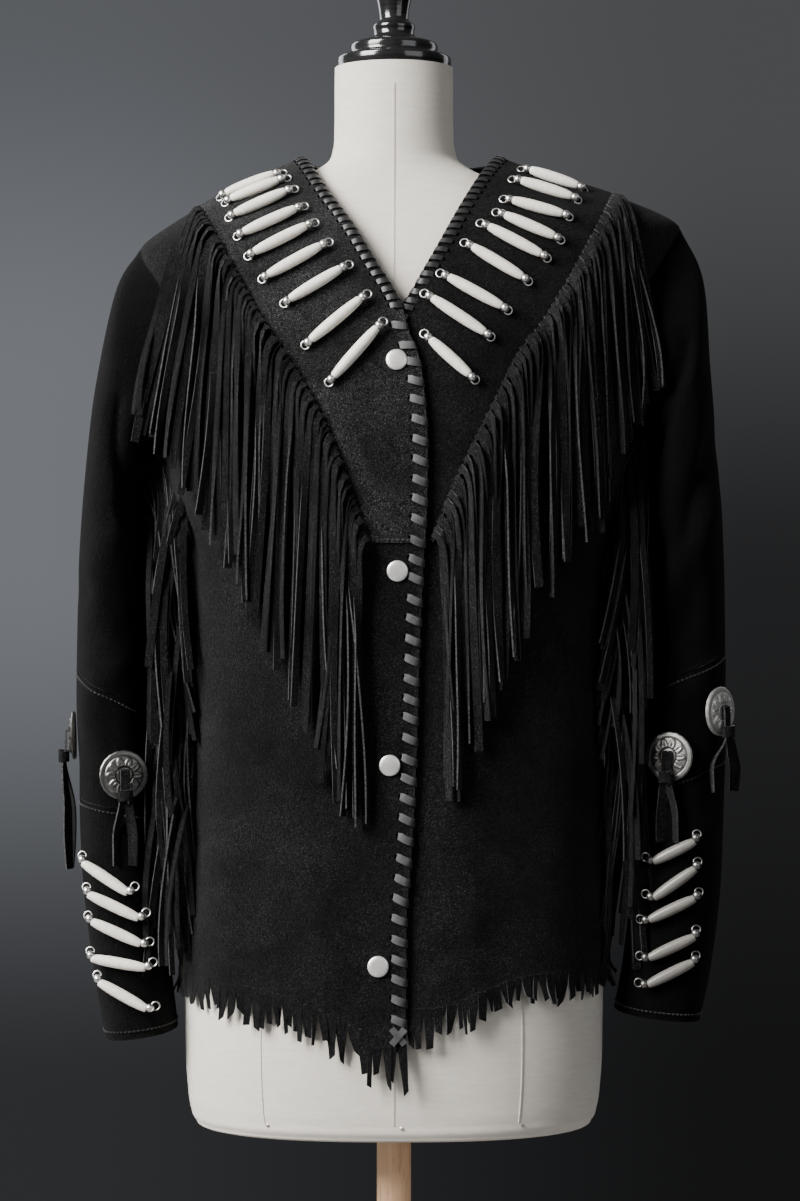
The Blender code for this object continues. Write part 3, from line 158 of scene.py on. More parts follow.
def backdrop(tree):
    """A studio wall lit from the left, given by the direction looked in."""
    n = Nodes(tree, "Generated")
    split = n.new("ShaderNodeSeparateXYZ")
    n.link(n.where, split.inputs[0])

    def share(axis, low, high):
        node = n.new("ShaderNodeMapRange", interpolation_type="SMOOTHSTEP")
        n.feed((split.outputs[axis], low, high), node.inputs)
        return node.outputs["Result"]

    sides = []
    for side in STUDIO_WALL.values():
        bottom, middle, top = (shade(side[k], side["tint"]) for k in ("bottom", "middle", "top"))
        lower = n.mix(share("Z", -0.160, 0.015), bottom, middle)
        sides.append(n.mix(share("Z", *side["rise"]), lower, top))
    n.link(n.mix(share("X", -0.125, 0.115), *sides), tree.nodes["Background"].inputs["Color"])


def light_scene():
    """A large window on the left, a weak fill, two rims and the studio wall."""
    area_light("window", (-2.35, -1.75, 2.65), (0, 0, 1.2), (1.7, 2.1), 385, (1.0, 0.985, 0.965))
    area_light("fill", (2.2, -2.6, 1.9), (0, 0, 1.1), (2.2, 2.0), 21, (0.95, 0.97, 1.0))
    area_light("rim_left", (-1.7, 1.6, 2.0), (0, 0, 1.15), (0.9, 1.8), 20, (0.95, 0.97, 1.0))
    area_light("rim_right", (1.9, 1.5, 2.1), (0, 0, 1.15), (0.8, 1.6), 5, (0.95, 0.97, 1.0))
    world = bpy.data.worlds.new("studio")
    bpy.context.scene.world = world
    world.use_nodes = True
    backdrop(world.node_tree)


# ---------------- materials
class Nodes:
    """A short way to wire a tree of nodes."""

    def __init__(self, tree, space):
        self.tree = tree
        self.where = self.new("ShaderNodeTexCoord").outputs[space]

    def new(self, kind, **values):
        node = self.tree.nodes.new(kind)
        for key, value in values.items():
            if key in node.inputs:
                node.inputs[key].default_value = value
            else:
                setattr(node, key, value)
        return node

    def link(self, a, b):
        self.tree.links.new(a, b)

    def feed(self, values, sockets):
        """Links or sets each socket from its value."""
        for value, socket in zip(values, sockets):
            if hasattr(value, "node"):
                self.link(value, socket)
            else:
                socket.default_value = (*value, 1) if isinstance(value, tuple) else value

    def noise(self, scale, detail, rough, stretch=None, distort=0.0):
        where = self.where
        if stretch is not None:
            mapping = self.new("ShaderNodeMapping", Scale=stretch)
            self.link(where, mapping.inputs["Vector"])
            where = mapping.outputs["Vector"]
        node = self.new("ShaderNodeTexNoise", Scale=scale, Detail=detail, Roughness=rough, Distortion=distort)
        self.link(where, node.inputs["Vector"])
        return node.outputs["Fac"]

    def ramp(self, fac, stops):
        """Each stop is a place and a colour, or a grey given as one number."""
        node = self.new("ShaderNodeValToRGB")
        ramp = node.color_ramp
        while len(ramp.elements) < len(stops):
            ramp.elements.new(0.5)
        for element, (place, colour) in zip(ramp.elements, stops):
            element.position = place
            element.color = (*np.broadcast_to(colour, 3), 1)
        self.link(fac, node.inputs["Fac"])
        return node.outputs["Color"]

    def mix(self, fac, a, b, way="MIX"):
        node = self.new("ShaderNodeMix", data_type="RGBA", blend_type=way)
        self.feed((fac, a, b), (node.inputs[0], node.inputs[6], node.inputs[7]))
        return node.outputs[2]

    def maths(self, way, a, b):
        node = self.new("ShaderNodeMath", operation=way)
        self.feed((a, b), node.inputs)
        return node.outputs[0]


class Material(Nodes):
    """A new Principled material."""

    def __init__(self, name):
        self.mat = bpy.data.materials.new(name)
        self.mat.use_nodes = True
        super().__init__(self.mat.node_tree, "Object")
        self.shader = self.tree.nodes["Principled BSDF"]

    def bump(self, height, distance, strength, under=None):
        node = self.new("ShaderNodeBump", Strength=strength, Distance=distance)
        self.link(height, node.inputs["Height"])
        if under is not None:
            self.link(under, node.inputs["Normal"])
        self.link(node.outputs["Normal"], self.shader.inputs["Normal"])
        return node.outputs["Normal"]

    def colour(self, socket):
        self.link(socket, self.shader.inputs["Base Color"])

    def set(self, **values):
        for key, value in values.items():
            self.shader.inputs[key.replace("_", " ")].default_value = value


def shade(tone, colour):
    """A colour made lighter or darker."""
    return tuple(tone * c for c in colour)


def plain(name, grain, stops, relief=None, **settings):
    """A material of one noise; relief is a second noise with its depth and strength."""
    n = Material(name)
    n.colour(n.ramp(n.noise(*grain), stops))
    if relief:
        n.bump(n.noise(*relief[0]), *relief[1:])
    n.set(**settings)
    return n.mat


def suede(name="suede_nap", dark=0.0007, light=0.0030, fleck=0.040, sheen=0.045):
    """Black split suede: brushed patches, a mottled nap and pale fibre ends."""
    n = Material(name)
    clouds = n.noise(16, 4, 0.6, distort=0.5)
    mottle = n.noise(420, 4, 0.65)
    speckle = n.noise(1250, 2, 0.75)
    fibres = n.noise(2600, 3, 0.6, stretch=(1, 1, 0.35))
    patches = n.noise(75, 3, 0.6, distort=0.8)
    base = n.ramp(clouds, ((0.30, dark), (0.72, shade(light, (1, 1, 1.02)))))
    base = n.mix(0.8, base, n.ramp(patches, ((0.34, 0.45), (0.68, 1.75))), "MULTIPLY")
    worn = n.mix(0.8, base, n.ramp(mottle, ((0.38, 0.15), (0.64, 2.1))), "MULTIPLY")
    tips = n.ramp(speckle, ((0.54, 0.0), (0.74, shade(fleck, (1.3, 1.3, 1.33)))))
    patchy = n.mix(1.0, tips, n.ramp(clouds, ((0.32, 0.35), (0.66, 1.25))), "MULTIPLY")
    n.colour(n.mix(1.0, worn, patchy, "ADD"))
    nap = n.bump(fibres, 0.0008, 1.0, n.bump(mottle, 0.0020, 1.0))
    n.bump(clouds, 0.0020, 0.35, nap)
    n.set(Roughness=1.0, Specular_IOR_Level=0.10, Sheen_Weight=sheen, Sheen_Roughness=0.45,
          Sheen_Tint=(0.78, 0.79, 0.81, 1))
    return n.mat


def cut_edge(name="suede_cut_edge", light=0.090):
    """The raw grey edge of a cut suede strip."""
    return plain(name, (700, 3, 0.7), ((0.34, 0.008), (0.74, shade(light, (1, 1.02, 1.04)))),
                 ((2200, 2, 0.7), 0.0005, 0.8),
                 Roughness=0.95, Specular_IOR_Level=0.15, Sheen_Weight=0.15, Sheen_Roughness=0.4)


def lace_leather(name="lace_leather", dark=0.030, light=0.085, rough=0.52):
    """Flat glazed lacing, rubbed paler along its ridges."""
    stops = ((0.30, shade(dark, (1, 1, 1.03))), (0.75, shade(light, (1, 1, 1.01))))
    return plain(name, (110, 3, 0.6), stops, ((700, 4, 0.6), 0.0004, 0.6),
                 Roughness=rough, Specular_IOR_Level=0.5, Sheen_Weight=0.08, Sheen_Roughness=0.4)


def hole_black():
    """The shaded inside of a punched hole."""
    return plain("punched_hole", (900, 2, 0.6), ((0.3, 0.0008), (0.7, 0.0022)),
                 Roughness=1.0, Specular_IOR_Level=0.0)


def thread(name="black_thread", dark=0.006, light=0.024):
    """Waxed sewing thread."""
    return plain(name, (3000, 2, 0.5), ((0.3, dark), (0.7, light)),
                 Roughness=0.6, Specular_IOR_Level=0.4, Sheen_Weight=0.2, Sheen_Roughness=0.4)


def bone(name="bone", tone=1.0):
    """Polished bone: ivory white with faint lengthwise grain and small dark pores."""
    n = Material(name)
    grain = n.noise(260, 4, 0.6, distort=0.6)
    pores = n.noise(900, 2, 0.5)
    ivories = ((0.28, (0.72, 0.67, 0.58)), (0.62, (0.86, 0.83, 0.77)))
    base = n.ramp(grain, [(at, shade(tone, colour)) for at, colour in ivories])
    n.colour(n.mix(n.ramp(pores, ((0.66, 0.0), (0.80, 0.35))), base, shade(tone, (0.42, 0.36, 0.28))))
    n.bump(pores, 0.0002, 0.35)
    n.set(Roughness=0.34, Specular_IOR_Level=0.5, Subsurface_Weight=0.15,
          Subsurface_Radius=(0.004, 0.003, 0.002), Subsurface_Scale=0.5)
    return n.mat


def silver(name="silver", rough=0.30, tone=0.86):
    """White metal with fine polishing marks and slight tarnish."""
    n = Material(name)
    marks = n.noise(520, 3, 0.6, stretch=(1, 1, 6))
    tarnish = n.noise(120, 4, 0.6)
    metals = ((0.28, (0.62, 0.60, 0.56)), (0.60, (1, 0.985, 0.95)))
    n.colour(n.ramp(tarnish, [(at, shade(tone, colour)) for at, colour in metals]))
    n.link(n.ramp(marks, ((0.3, rough * 0.8), (0.7, rough * 1.5))), n.shader.inputs["Roughness"])
    n.bump(marks, 0.0001, 0.25)
    n.set(Metallic=1.0)
    return n.mat


def satin_cap():
    """A matt, nearly white metal cap with a brushed grain."""
    return plain("satin_cap", (160, 3, 0.5), ((0.3, (0.72, 0.71, 0.68)), (0.65, (0.86, 0.85, 0.82))),
                 ((900, 3, 0.6, (1, 1, 5)), 0.0002, 0.4),
                 Metallic=0.70, Roughness=0.36, Specular_IOR_Level=0.6)


def linen():
    """Cream linen stretched over the form: a plain weave with slubs and soft marks."""
    n = Material("linen")
    threads = []
    for way in ("X", "Z"):
        wave = n.new("ShaderNodeTexWave", wave_type="BANDS", bands_direction=way, Scale=520, Distortion=1.2,
                     Detail=2, **{"Detail Scale": 1.5})
        n.link(n.where, wave.inputs["Vector"])
        threads.append(wave.outputs["Fac"])
    weave = n.maths("MULTIPLY", *threads)
    slub = n.noise(60, 4, 0.6, stretch=(1, 1, 7))
    marks = n.noise(7, 3, 0.5)
    cloth = n.ramp(slub, ((0.30, (0.72, 0.675, 0.60)), (0.70, (0.81, 0.77, 0.705))))
    aged = n.mix(n.ramp(marks, ((0.35, 0.0), (0.75, 0.30))), cloth, (0.66, 0.61, 0.53))
    n.colour(n.mix(0.25, aged, n.ramp(weave, ((0.0, (0.55, 0.52, 0.47)), (0.6, 1.0))), "MULTIPLY"))
    n.bump(weave, 0.0003, 0.5, n.bump(slub, 0.0004, 0.3))
    n.set(Roughness=0.92, Specular_IOR_Level=0.25, Sheen_Weight=0.12, Sheen_Roughness=0.5)
    return n.mat


def seam_linen_and_shade():
    """A slightly darker linen for the form's seams, partly painted shade along them."""
    return plain("linen_seam", (300, 3, 0.6), ((0.3, (0.55, 0.51, 0.45)), (0.7, (0.68, 0.64, 0.58))),
                 ((1200, 2, 0.6), 0.0003, 0.6), Roughness=0.9, Specular_IOR_Level=0.25)


def black_gloss():
    """Black lacquer over turned wood."""
    return plain("black_lacquer", (40, 4, 0.5, (1, 1, 9)), ((0.3, 0.006), (0.7, (0.014, 0.013, 0.013))),
                 ((30, 3, 0.5, (1, 1, 14)), 0.0006, 0.25),
                 Roughness=0.17, Specular_IOR_Level=0.55, Coat_Weight=0.6, Coat_Roughness=0.08)


def beech(name="beech", along=(1, 1, 0.12), tone=1.0):
    """Pale beech: fine grain along the piece, with short dark rays."""
    n = Material(name)
    rings = n.noise(60, 4, 0.55, stretch=along, distort=0.8)
    rays = n.noise(420, 2, 0.6, stretch=along)
    woods = ((0.28, (0.38, 0.225, 0.125)), (0.55, (0.52, 0.335, 0.20)), (0.78, (0.60, 0.41, 0.26)))
    base = n.ramp(rings, [(at, shade(tone, colour)) for at, colour in woods])
    n.colour(n.mix(n.ramp(rays, ((0.58, 0.0), (0.72, 0.45))), base, (0.26, 0.14, 0.07)))
    n.bump(rays, 0.0003, 0.25)
    n.set(Roughness=0.42, Specular_IOR_Level=0.5, Coat_Weight=0.15, Coat_Roughness=0.3)
    return n.mat


def studio_grey():
    """The floor's plain grey."""
    return plain("floor", (3, 4, 0.6), ((0.3, (0.17, 0.17, 0.175)), (0.7, (0.20, 0.20, 0.205))),
                 Roughness=0.8)


# ---------------- small helpers
def rows_of(table, columns):
    """The rows of a table of named columns."""
    return zip(*(table[name] for name in columns.split()))


def turns(count):
    """Angles evenly round a full turn."""
    return 2 * math.pi * np.arange(count) / count


def run_along(line):
    """How far along a line of points each of them lies."""
    return np.concatenate([[0.0], np.cumsum(np.linalg.norm(np.diff(line, axis=0), axis=1))])


def at_rows(data, rows):
    """Points between a line's own, at row numbers that may be fractions."""
    return np.stack([np.interp(rows, np.arange(len(data)), data[:, axis]) for axis in range(3)], axis=-1)


def at_run(place, run, data):
    """The point of a line at a distance along it."""
    return np.array([np.interp(place, run, data[:, axis]) for axis in range(3)])


def weights(t):
    """Weights of two points and their slopes, as point, slope, point, slope, on a smooth curve between."""
    return (1 + 2 * t) * (1 - t) ** 2, t * (1 - t) ** 2, t * t * (3 - 2 * t), t * t * (t - 1)


def curve(xs, ys, x):
    """A smooth curve through a table's points, held flat past its ends."""
    xs, ys = np.asarray(xs, float), np.asarray(ys, float)
    slope = np.gradient(ys, xs)
    x = np.clip(x, xs[0], xs[-1])
    i = np.clip(np.searchsorted(xs, x) - 1, 0, len(xs) - 2)
    step = xs[i + 1] - xs[i]
    a, b, c, d = weights((x - xs[i]) / step)
    return a * ys[i] + b * step * slope[i] + c * ys[i + 1] + d * step * slope[i + 1]


def ease(t):
    """A smooth step from 0 to 1."""
    t = np.clip(t, 0.0, 1.0)
    return t * t * (3 - 2 * t)


def unit(vectors):
    """Vectors brought to length one."""
    return vectors / np.maximum(np.linalg.norm(vectors, axis=-1, keepdims=True), 1e-12)


def square_to(vectors, *axes):
    """Unit vectors along what is left of some vectors without their parts along the axes."""
    left = vectors
    for axis in axes:
        left = left - np.sum(vectors * axis, axis=-1, keepdims=True) * axis
    return unit(left)


def rounded(value, power):
    """A value from -1 to 1 bent by a power, its sign kept."""
    return np.sign(value) * np.abs(value) ** power


def piece(name, verts, faces, mats, replaces=(), which=None):
    """A mesh that rides on the body; which gives each face's material."""
    mesh = bpy.data.meshes.new(name)
    mesh.from_pydata([tuple(map(float, v)) for v in verts], [], [tuple(map(int, f)) for f in faces])
    for mat in mats:
        mesh.materials.append(mat)
    mesh.polygons.foreach_set("use_smooth", [True] * len(mesh.polygons))
    if which is not None:
        mesh.polygons.foreach_set("material_index", [int(k) for k in which])
    mesh.validate()
    mesh.update()
    obj = bpy.data.objects.new(name, mesh)
    bpy.context.collection.objects.link(obj)
    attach(obj, "root")
    if replaces:
        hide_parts(*replaces)
    return obj


def sharpen(obj, degrees):
    """Marks the edges that are sharper than an angle."""
    obj.data.set_sharp_from_angle(angle=math.radians(degrees))
    return obj


def tube_faces(rows, columns):
    """Quads of a stack of rings, closed at both ends."""
    last = (rows - 1) * columns
    ends = [tuple(range(columns))[::-1], tuple(last + k for k in range(columns))]
    return [tuple(f) for f in grid_faces(rows, columns, ring=True)] + ends


def grid_faces(rows, columns, ring=False, first=0, flip=False):
    """Quads of a grid of points."""
    across = columns if ring else columns - 1
    r, c = np.meshgrid(np.arange(rows - 1), np.arange(across), indexing="ij")
    n = (c + 1) % columns
    near, far = r * columns, (r + 1) * columns
    quads = np.stack([near + c, near + n, far + n, far + c], axis=-1).reshape(-1, 4) + first
    return quads[:, ::-1] if flip else quads


def shell(name, node, outer, normals, mats, ring=False):
    """A thin closed suede wall inside a grid of outer points; its cut rims have the last material."""
    rows, columns = outer.shape[:2]
    inner = outer - CLOTH * normals
    verts = np.concatenate([outer.reshape(-1, 3), inner.reshape(-1, 3)])
    shift = rows * columns
    r, c = rows // 2, columns // 2
    middle = outer[r, c]
    flip = np.dot(np.cross(outer[r, c + 1] - middle, outer[r + 1, c] - middle), normals[r, c]) > 0
    faces = [grid_faces(rows, columns, ring, 0, not flip), grid_faces(rows, columns, ring, shift, flip)]
    body = len(faces[0]) * 2
    rims = []

    def rim(line, turn):
        pairs = np.stack([line[:-1], line[1:], line[1:] + shift, line[:-1] + shift], axis=-1)
        rims.append(pairs[:, ::-1] if turn else pairs)

    top = np.append(np.arange(columns), 0) if ring else np.arange(columns)
    rim(top, not flip)
    rim(top + (rows - 1) * columns, flip)
    if not ring:
        side = np.arange(rows) * columns
        rim(side, flip)
        rim(side + columns - 1, not flip)
    faces = np.concatenate(faces + rims)
    which = (np.arange(len(faces)) >= body) * (len(mats) - 1)
    return piece(name + "_cloth", verts, faces, mats, (node,), which)


# ---------------- the torso's surface
def torso_section(z, facing=-1):
    """Middle, half width and depth of the torso's outer face at a height; facing is 1 for the back."""
    right, left, depth = (curve(TORSO["z"], TORSO[k], z)
                          for k in ("right", "left", "front" if facing < 0 else "back"))
    return (left - right) / 2, (left + right) / 2, depth


def torso_angle(x, z):
    """Angle of the point at x, from 0 at the right side to pi at the left side."""
    middle, half = torso_section(z)[:2]
    c = np.clip((x - middle) / half, -1.0, 1.0)
    return np.arccos(-rounded(c, SECTION_POWER / 2))


def torso_point(angle, z, facing=-1):
    """The outer face's points; facing is -1 on the front and 1 on the back."""
    angle, z = np.broadcast_arrays(np.asarray(angle, float), np.asarray(z, float))
    middle, half, depth = torso_section(z, facing)
    c = np.cos(angle)
    s = np.maximum(np.sin(angle), 0.0)
    x = middle - half * rounded(c, 2 / SECTION_POWER)
    return np.stack([x, facing * depth * s ** (2 / SECTION_POWER), z], axis=-1)


def torso_level(points, facing):
    """How far out points lie: 1 on the outer face."""
    middle, half, depth = torso_section(points[..., 2], facing)
    wide, deep = np.abs(points[..., 0] - middle) / half, np.abs(points[..., 1]) / depth
    return wide ** SECTION_POWER + deep ** SECTION_POWER


def torso_normal(points, facing):
    """The outer face's normals, from how its level changes over small steps."""
    slope = np.zeros(points.shape)
    for axis in range(3):
        ahead, behind = points.copy(), points.copy()
        ahead[..., axis] += SMALL_STEP
        behind[..., axis] -= SMALL_STEP
        slope[..., axis] = torso_level(ahead, facing) - torso_level(behind, facing)
    return unit(slope)


def side_angle(z, side, facing):
    """Angle where a panel ends: its side seam, its armhole or its shoulder seam."""
    seam = np.arcsin((SEAM / torso_section(z, facing)[2]) ** (SECTION_POWER / 2))
    armpit, tip = ARMHOLE[side]
    middle, half = (tip + armpit) / 2, (tip - armpit) / 2
    lens = ARMHOLE_OPEN * np.sqrt(np.maximum(0.0, 1.0 - ((z - middle) / half) ** 2))
    return np.maximum(seam, lens)


def lap_drop(x, z):
    """How deep the left front lies at a point, under the right front's edge."""
    edge = curve(EDGES["right"]["z"], EDGES["right"]["x"], z)
    return -LAP_DROP * (1.0 - ease((x - edge - 0.004) / LAP_RAMP))


# ---------------- creases
def creases(table, a, b):
    """Sum of soft troughs and ridges; each runs from (a0, b0) to (a1, b1)."""
    lift = np.zeros(np.broadcast(a, b).shape)
    for a0, b0, a1, b1, wide, deep in rows_of(table, "a0 b0 a1 b1 wide deep"):
        run = math.hypot(a1 - a0, b1 - b0)
        along = ((a - a0) * (a1 - a0) + (b - b0) * (b1 - b0)) / run ** 2
        off = ((a - a0) * (b1 - b0) - (b - b0) * (a1 - a0)) / run
        ends = ease((along + 0.12) / 0.34) * ease((1.12 - along) / 0.34)
        wander = 0.35 * wide * np.sin(along * 5.3 + a0 * 90)
        lift += deep * ends * np.exp(-((off - wander) / wide) ** 2)
    return lift


FRONT_CREASES = {
    "a0": (0.03, 0.03, 0.02, -0.015, -0.02, -0.06, 0.075, 0.12, -0.13, 0.15, -0.15, 0.06),
    "b0": (1.07, 0.915, 0.76, 1.06, 0.905, 0.86, 0.9, 0.88, 0.88, 1.12, 1.12, 0.82),
    "a1": (0.085, 0.08, 0.075, -0.07, -0.075, -0.055, 0.085, 0.15, -0.15, 0.185, -0.18, 0.066),
    "b1": (1.045, 0.895, 0.775, 1.03, 0.88, 0.73, 0.735, 0.74, 0.73, 1.03, 1.02, 0.72),
    "wide": (0.008, 0.009, 0.009, 0.008, 0.009, 0.018, 0.02, 0.022, 0.02, 0.014, 0.014, 0.01),
    "deep": (-0.002, -0.0018, -0.0016, -0.002, -0.0018, 0.003, -0.003, 0.003, 0.003, -0.003, -0.003,
             0.0018),
}
BACK_CREASES = {
    "a0": (-0.11, -0.05, 0.0, 0.055, 0.115, -0.13, 0.14, -0.03),
    "b0": (0.99, 0.93, 1.0, 0.94, 0.98, 1.13, 1.12, 0.88),
    "a1": (-0.125, -0.06, 0.004, 0.06, 0.13, -0.175, 0.185, -0.034),
    "b1": (0.75, 0.745, 0.74, 0.745, 0.76, 1.02, 1.03, 0.74),
    "wide": (0.022, 0.018, 0.024, 0.018, 0.022, 0.016, 0.016, 0.012),
    "deep": (0.0035, -0.003, 0.0038, -0.0034, 0.0036, -0.0035, -0.0035, -0.002),
}


def torso_cloth(angle, z, facing, side=None):
    """Points and normals of the torso's cloth with its creases and, on the left, its lap."""
    points = torso_point(angle, z, facing)
    normals = torso_normal(points, facing)
    table = FRONT_CREASES if facing < 0 else BACK_CREASES
    lift = creases(table, points[..., 0], points[..., 2])
    if side == "left":
        lift = lift + lap_drop(points[..., 0], points[..., 2])
    return points + lift[..., None] * normals, normals


# ---------------- cloth panels
HEMS = {
    "right": {
        "x": (-0.18, -0.14, -0.09, -0.05, -0.02, 0.01),
        "z": (0.744, 0.742, 0.736, 0.722, 0.708, 0.7),
    },
    "left": {"x": (-0.02, 0.035, 0.07, 0.1, 0.14, 0.18), "z": (0.726, 0.726, 0.738, 0.748, 0.75, 0.752)},
    "back": {"x": (-0.18, 0.0, 0.18), "z": (0.744, 0.73, 0.752)},
}
FIRST_LEVEL = 0.80      # height above which a panel's rows are level
PANEL_ROWS = (24, 96, 46)   # rows below FIRST_LEVEL, up to the shoulders, and over them
SHOULDER = 1.325
FRONT_COLUMNS = 64
YOKE_COLUMNS = 52
BACK_COLUMNS = 110
YOKE_ROWS = 66          # up to the shoulders
BACK_YOKE_ROWS = 60
BACK_ROWS = 130
BACK_HALF = 0.18        # half of the width over which the back's hem is given


def row_heights(first, last, rows):
    """Heights from first to last, closer over the shoulders."""
    low = np.linspace(first, SHOULDER, rows, endpoint=False)
    return np.concatenate([low, np.linspace(SHOULDER, last, PANEL_ROWS[2])])


def front_edge(side, z):
    """Angle of a front's free edge."""
    return torso_angle(curve(EDGES[side]["z"], EDGES[side]["x"], z), z)


def front_stop(side, z):
    """Angle where a front ends at the side."""
    stop = side_angle(z, side, -1)
    return math.pi - stop if side == "left" else stop


def front_cloth(side):
    """The grid of a front, rows by columns from its edge to its side seam."""
    levels = row_heights(FIRST_LEVEL, NECK_TOP, PANEL_ROWS[1])
    below = np.linspace(0, 1, PANEL_ROWS[0], endpoint=False)
    share = np.linspace(0, 1, FRONT_COLUMNS)
    base = np.concatenate([np.full(len(below), FIRST_LEVEL), levels])
    start, stop = front_edge(side, base), front_stop(side, base)
    angles = start[:, None] + (stop - start)[:, None] * share
    z = np.repeat(base[:, None], FRONT_COLUMNS, axis=1)
    low = curve(HEMS[side]["x"], HEMS[side]["z"], torso_point(angles[0], FIRST_LEVEL)[:, 0])
    z[:len(below)] = low + (FIRST_LEVEL - low) * below[:, None]
    return torso_cloth(angles, z, -1, side)


def yoke_cloth(side):
    """The grid of a front yoke, from the laced edge to its slanted edge."""
    top = YOKES[side]["z"][-1]
    levels = row_heights(YOKE_BOTTOM, NECK_TOP, YOKE_ROWS)
    start, stop = front_edge(side, levels), front_stop(side, levels)
    slant = torso_angle(curve(YOKES[side]["z"], YOKES[side]["x"], levels), levels)
    slant = np.where(levels > top, stop, slant)
    share = np.linspace(0, 1, YOKE_COLUMNS)
    angles = start[:, None] + (slant - start)[:, None] * share
    points, normals = torso_cloth(angles, np.repeat(levels[:, None], YOKE_COLUMNS, axis=1), -1, side)
    return points + (SEAM + CLOTH) * normals, normals


def slanted_line(side, grid, column):
    """A column of a front yoke's grid down its slanted edge, with its normals."""
    rows = grid[0][:, 0, 2] <= YOKES[side]["z"][-1]
    return [data[rows, column][::-1] for data in grid]


def back_slant(t):
    """Height of the back yoke's pointed edge, t from the right side to the left."""
    tip = np.where(t < 0.5, BACK_YOKE["right"], BACK_YOKE["left"])
    return BACK_YOKE["middle"] + (tip - BACK_YOKE["middle"]) * np.abs(2 * t - 1)


def back_cloth(yoke=False):
    """The grid of the back, or of its yoke."""
    t = np.linspace(0, 1, BACK_COLUMNS)
    slant = back_slant(t)
    if yoke:
        v = np.linspace(0, 1, BACK_YOKE_ROWS)[:, None]
        z = slant + (NECK_TOP - slant) * v
    else:
        low = curve(HEMS["back"]["x"], HEMS["back"]["z"], -BACK_HALF + 2 * BACK_HALF * t)
        v = np.linspace(0, 1, BACK_ROWS)[:, None]
        z = np.concatenate([low + (slant - low) * v, slant + (NECK_TOP - slant) * v[1::3]])
    start = side_angle(z, "right", 1)
    stop = math.pi - side_angle(z, "left", 1)
    points, normals = torso_cloth(start + (stop - start) * t, z, 1)
    if yoke:
        points = points + (SEAM + CLOTH) * normals
    return points, normals


# ---------------- sleeves
SLEEVE_COLUMNS = 96
SLEEVE_POWER = 2.3
SLEEVE_TUCK = (-0.003, -0.02, 0.003)    # how far the head's rim lies past, beside and under the armhole
SEAM_ROW = 0.004        # how far each piece of a sleeve stops short of its seam


def armhole_ring(side, ease_in=0.0030, angle_in=0.030, sink=0.0):
    """The sleeve's first ring, just inside the armhole, from its tip by the front."""
    armpit, tip = ARMHOLE[side]
    turn = turns(SLEEVE_COLUMNS)
    z = (tip + armpit) / 2 + ((tip - armpit) / 2 - ease_in) * np.cos(turn)
    angle = (ARMHOLE_OPEN - angle_in) * np.abs(np.sin(turn))
    if side == "left":
        angle = math.pi - angle
    ring = np.zeros((SLEEVE_COLUMNS, 3))
    for facing, here in ((-1, np.sin(turn) >= 0), (1, np.sin(turn) < 0)):
        points = torso_point(angle[here], z[here], facing)
        ring[here] = points - sink * torso_normal(points, facing)
    return ring


def sleeve_rings(side):
    """All rings of a sleeve: the armhole's, then one for each row of its table."""
    turn = turns(SLEEVE_COLUMNS)
    u, v = (rounded(way(turn), 2 / SLEEVE_POWER) for way in (np.cos, np.sin))
    table = SLEEVES[side]
    rings = [armhole_ring(side)]
    rows = rows_of(table, "outer_x outer_z inner_x inner_z")
    for (ox, oz, ix, iz), my, hy in zip(rows, SLEEVE_MIDDLE_Y, SLEEVE_HALF_Y):
        middle = np.array(((ox + ix) / 2, my, (oz + iz) / 2))
        across = np.array(((ox - ix) / 2, 0.0, (oz - iz) / 2))
        rings.append(middle + u[:, None] * across - v[:, None] * np.array((0.0, hy, 0.0)))
    return np.array(rings)


def sleeve_at(rings, rows):
    """Points of a sleeve at rows, one number for each point of a grid."""
    rows = np.broadcast_to(rows, np.broadcast_shapes(np.shape(rows), (rings.shape[1],)))
    slope = np.gradient(rings, axis=0)
    x = np.clip(rows, 0, len(rings) - 1)
    i = np.clip(np.floor(x).astype(int), 0, len(rings) - 2)
    column = np.broadcast_to(np.arange(rings.shape[1]), i.shape)
    a, b, c, d = weights((x - i)[..., None])
    near = a * rings[i, column] + b * slope[i, column]
    return near + c * rings[i + 1, column] + d * slope[i + 1, column]


SLEEVE_FRONT_CREASES = {
    "right": {
        "a0": (-0.2215, -0.215, -0.222, -0.255, -0.225, -0.25),
        "b0": (1.215, 1.135, 1.11, 1.06, 1.0, 0.92),
        "a1": (-0.213, -0.195, -0.24, -0.205, -0.245, -0.205),
        "b1": (1.125, 1.062, 1.03, 1.01, 0.93, 0.87),
        "wide": (0.008, 0.009, 0.012, 0.012, 0.012, 0.012),
        "deep": (-0.0075, -0.007, 0.0045, -0.0045, 0.004, -0.0038),
    },
    "left": {
        "a0": (0.259, 0.255, 0.237, 0.24, 0.262, 0.235),
        "b0": (1.185, 1.13, 1.256, 1.06, 1.0, 0.93),
        "a1": (0.231, 0.215, 0.213, 0.215, 0.215, 0.262),
        "b1": (1.078, 1.03, 1.195, 0.99, 0.94, 0.87),
        "wide": (0.009, 0.012, 0.007, 0.012, 0.013, 0.012),
        "deep": (-0.007, 0.005, -0.006, -0.0045, 0.0045, -0.004),
    },
}
SLEEVE_BACK_CREASES = {
    "a0": (0.25, 0.215, 0.262, 0.215, 0.258),
    "b0": (1.18, 1.11, 1.04, 0.99, 0.9),
    "a1": (0.215, 0.26, 0.212, 0.262, 0.215),
    "b1": (1.11, 1.05, 0.985, 0.93, 0.85),
    "wide": (0.011, 0.012, 0.012, 0.013, 0.012),
    "deep": (-0.0055, 0.005, -0.005, 0.0045, -0.0038),
}


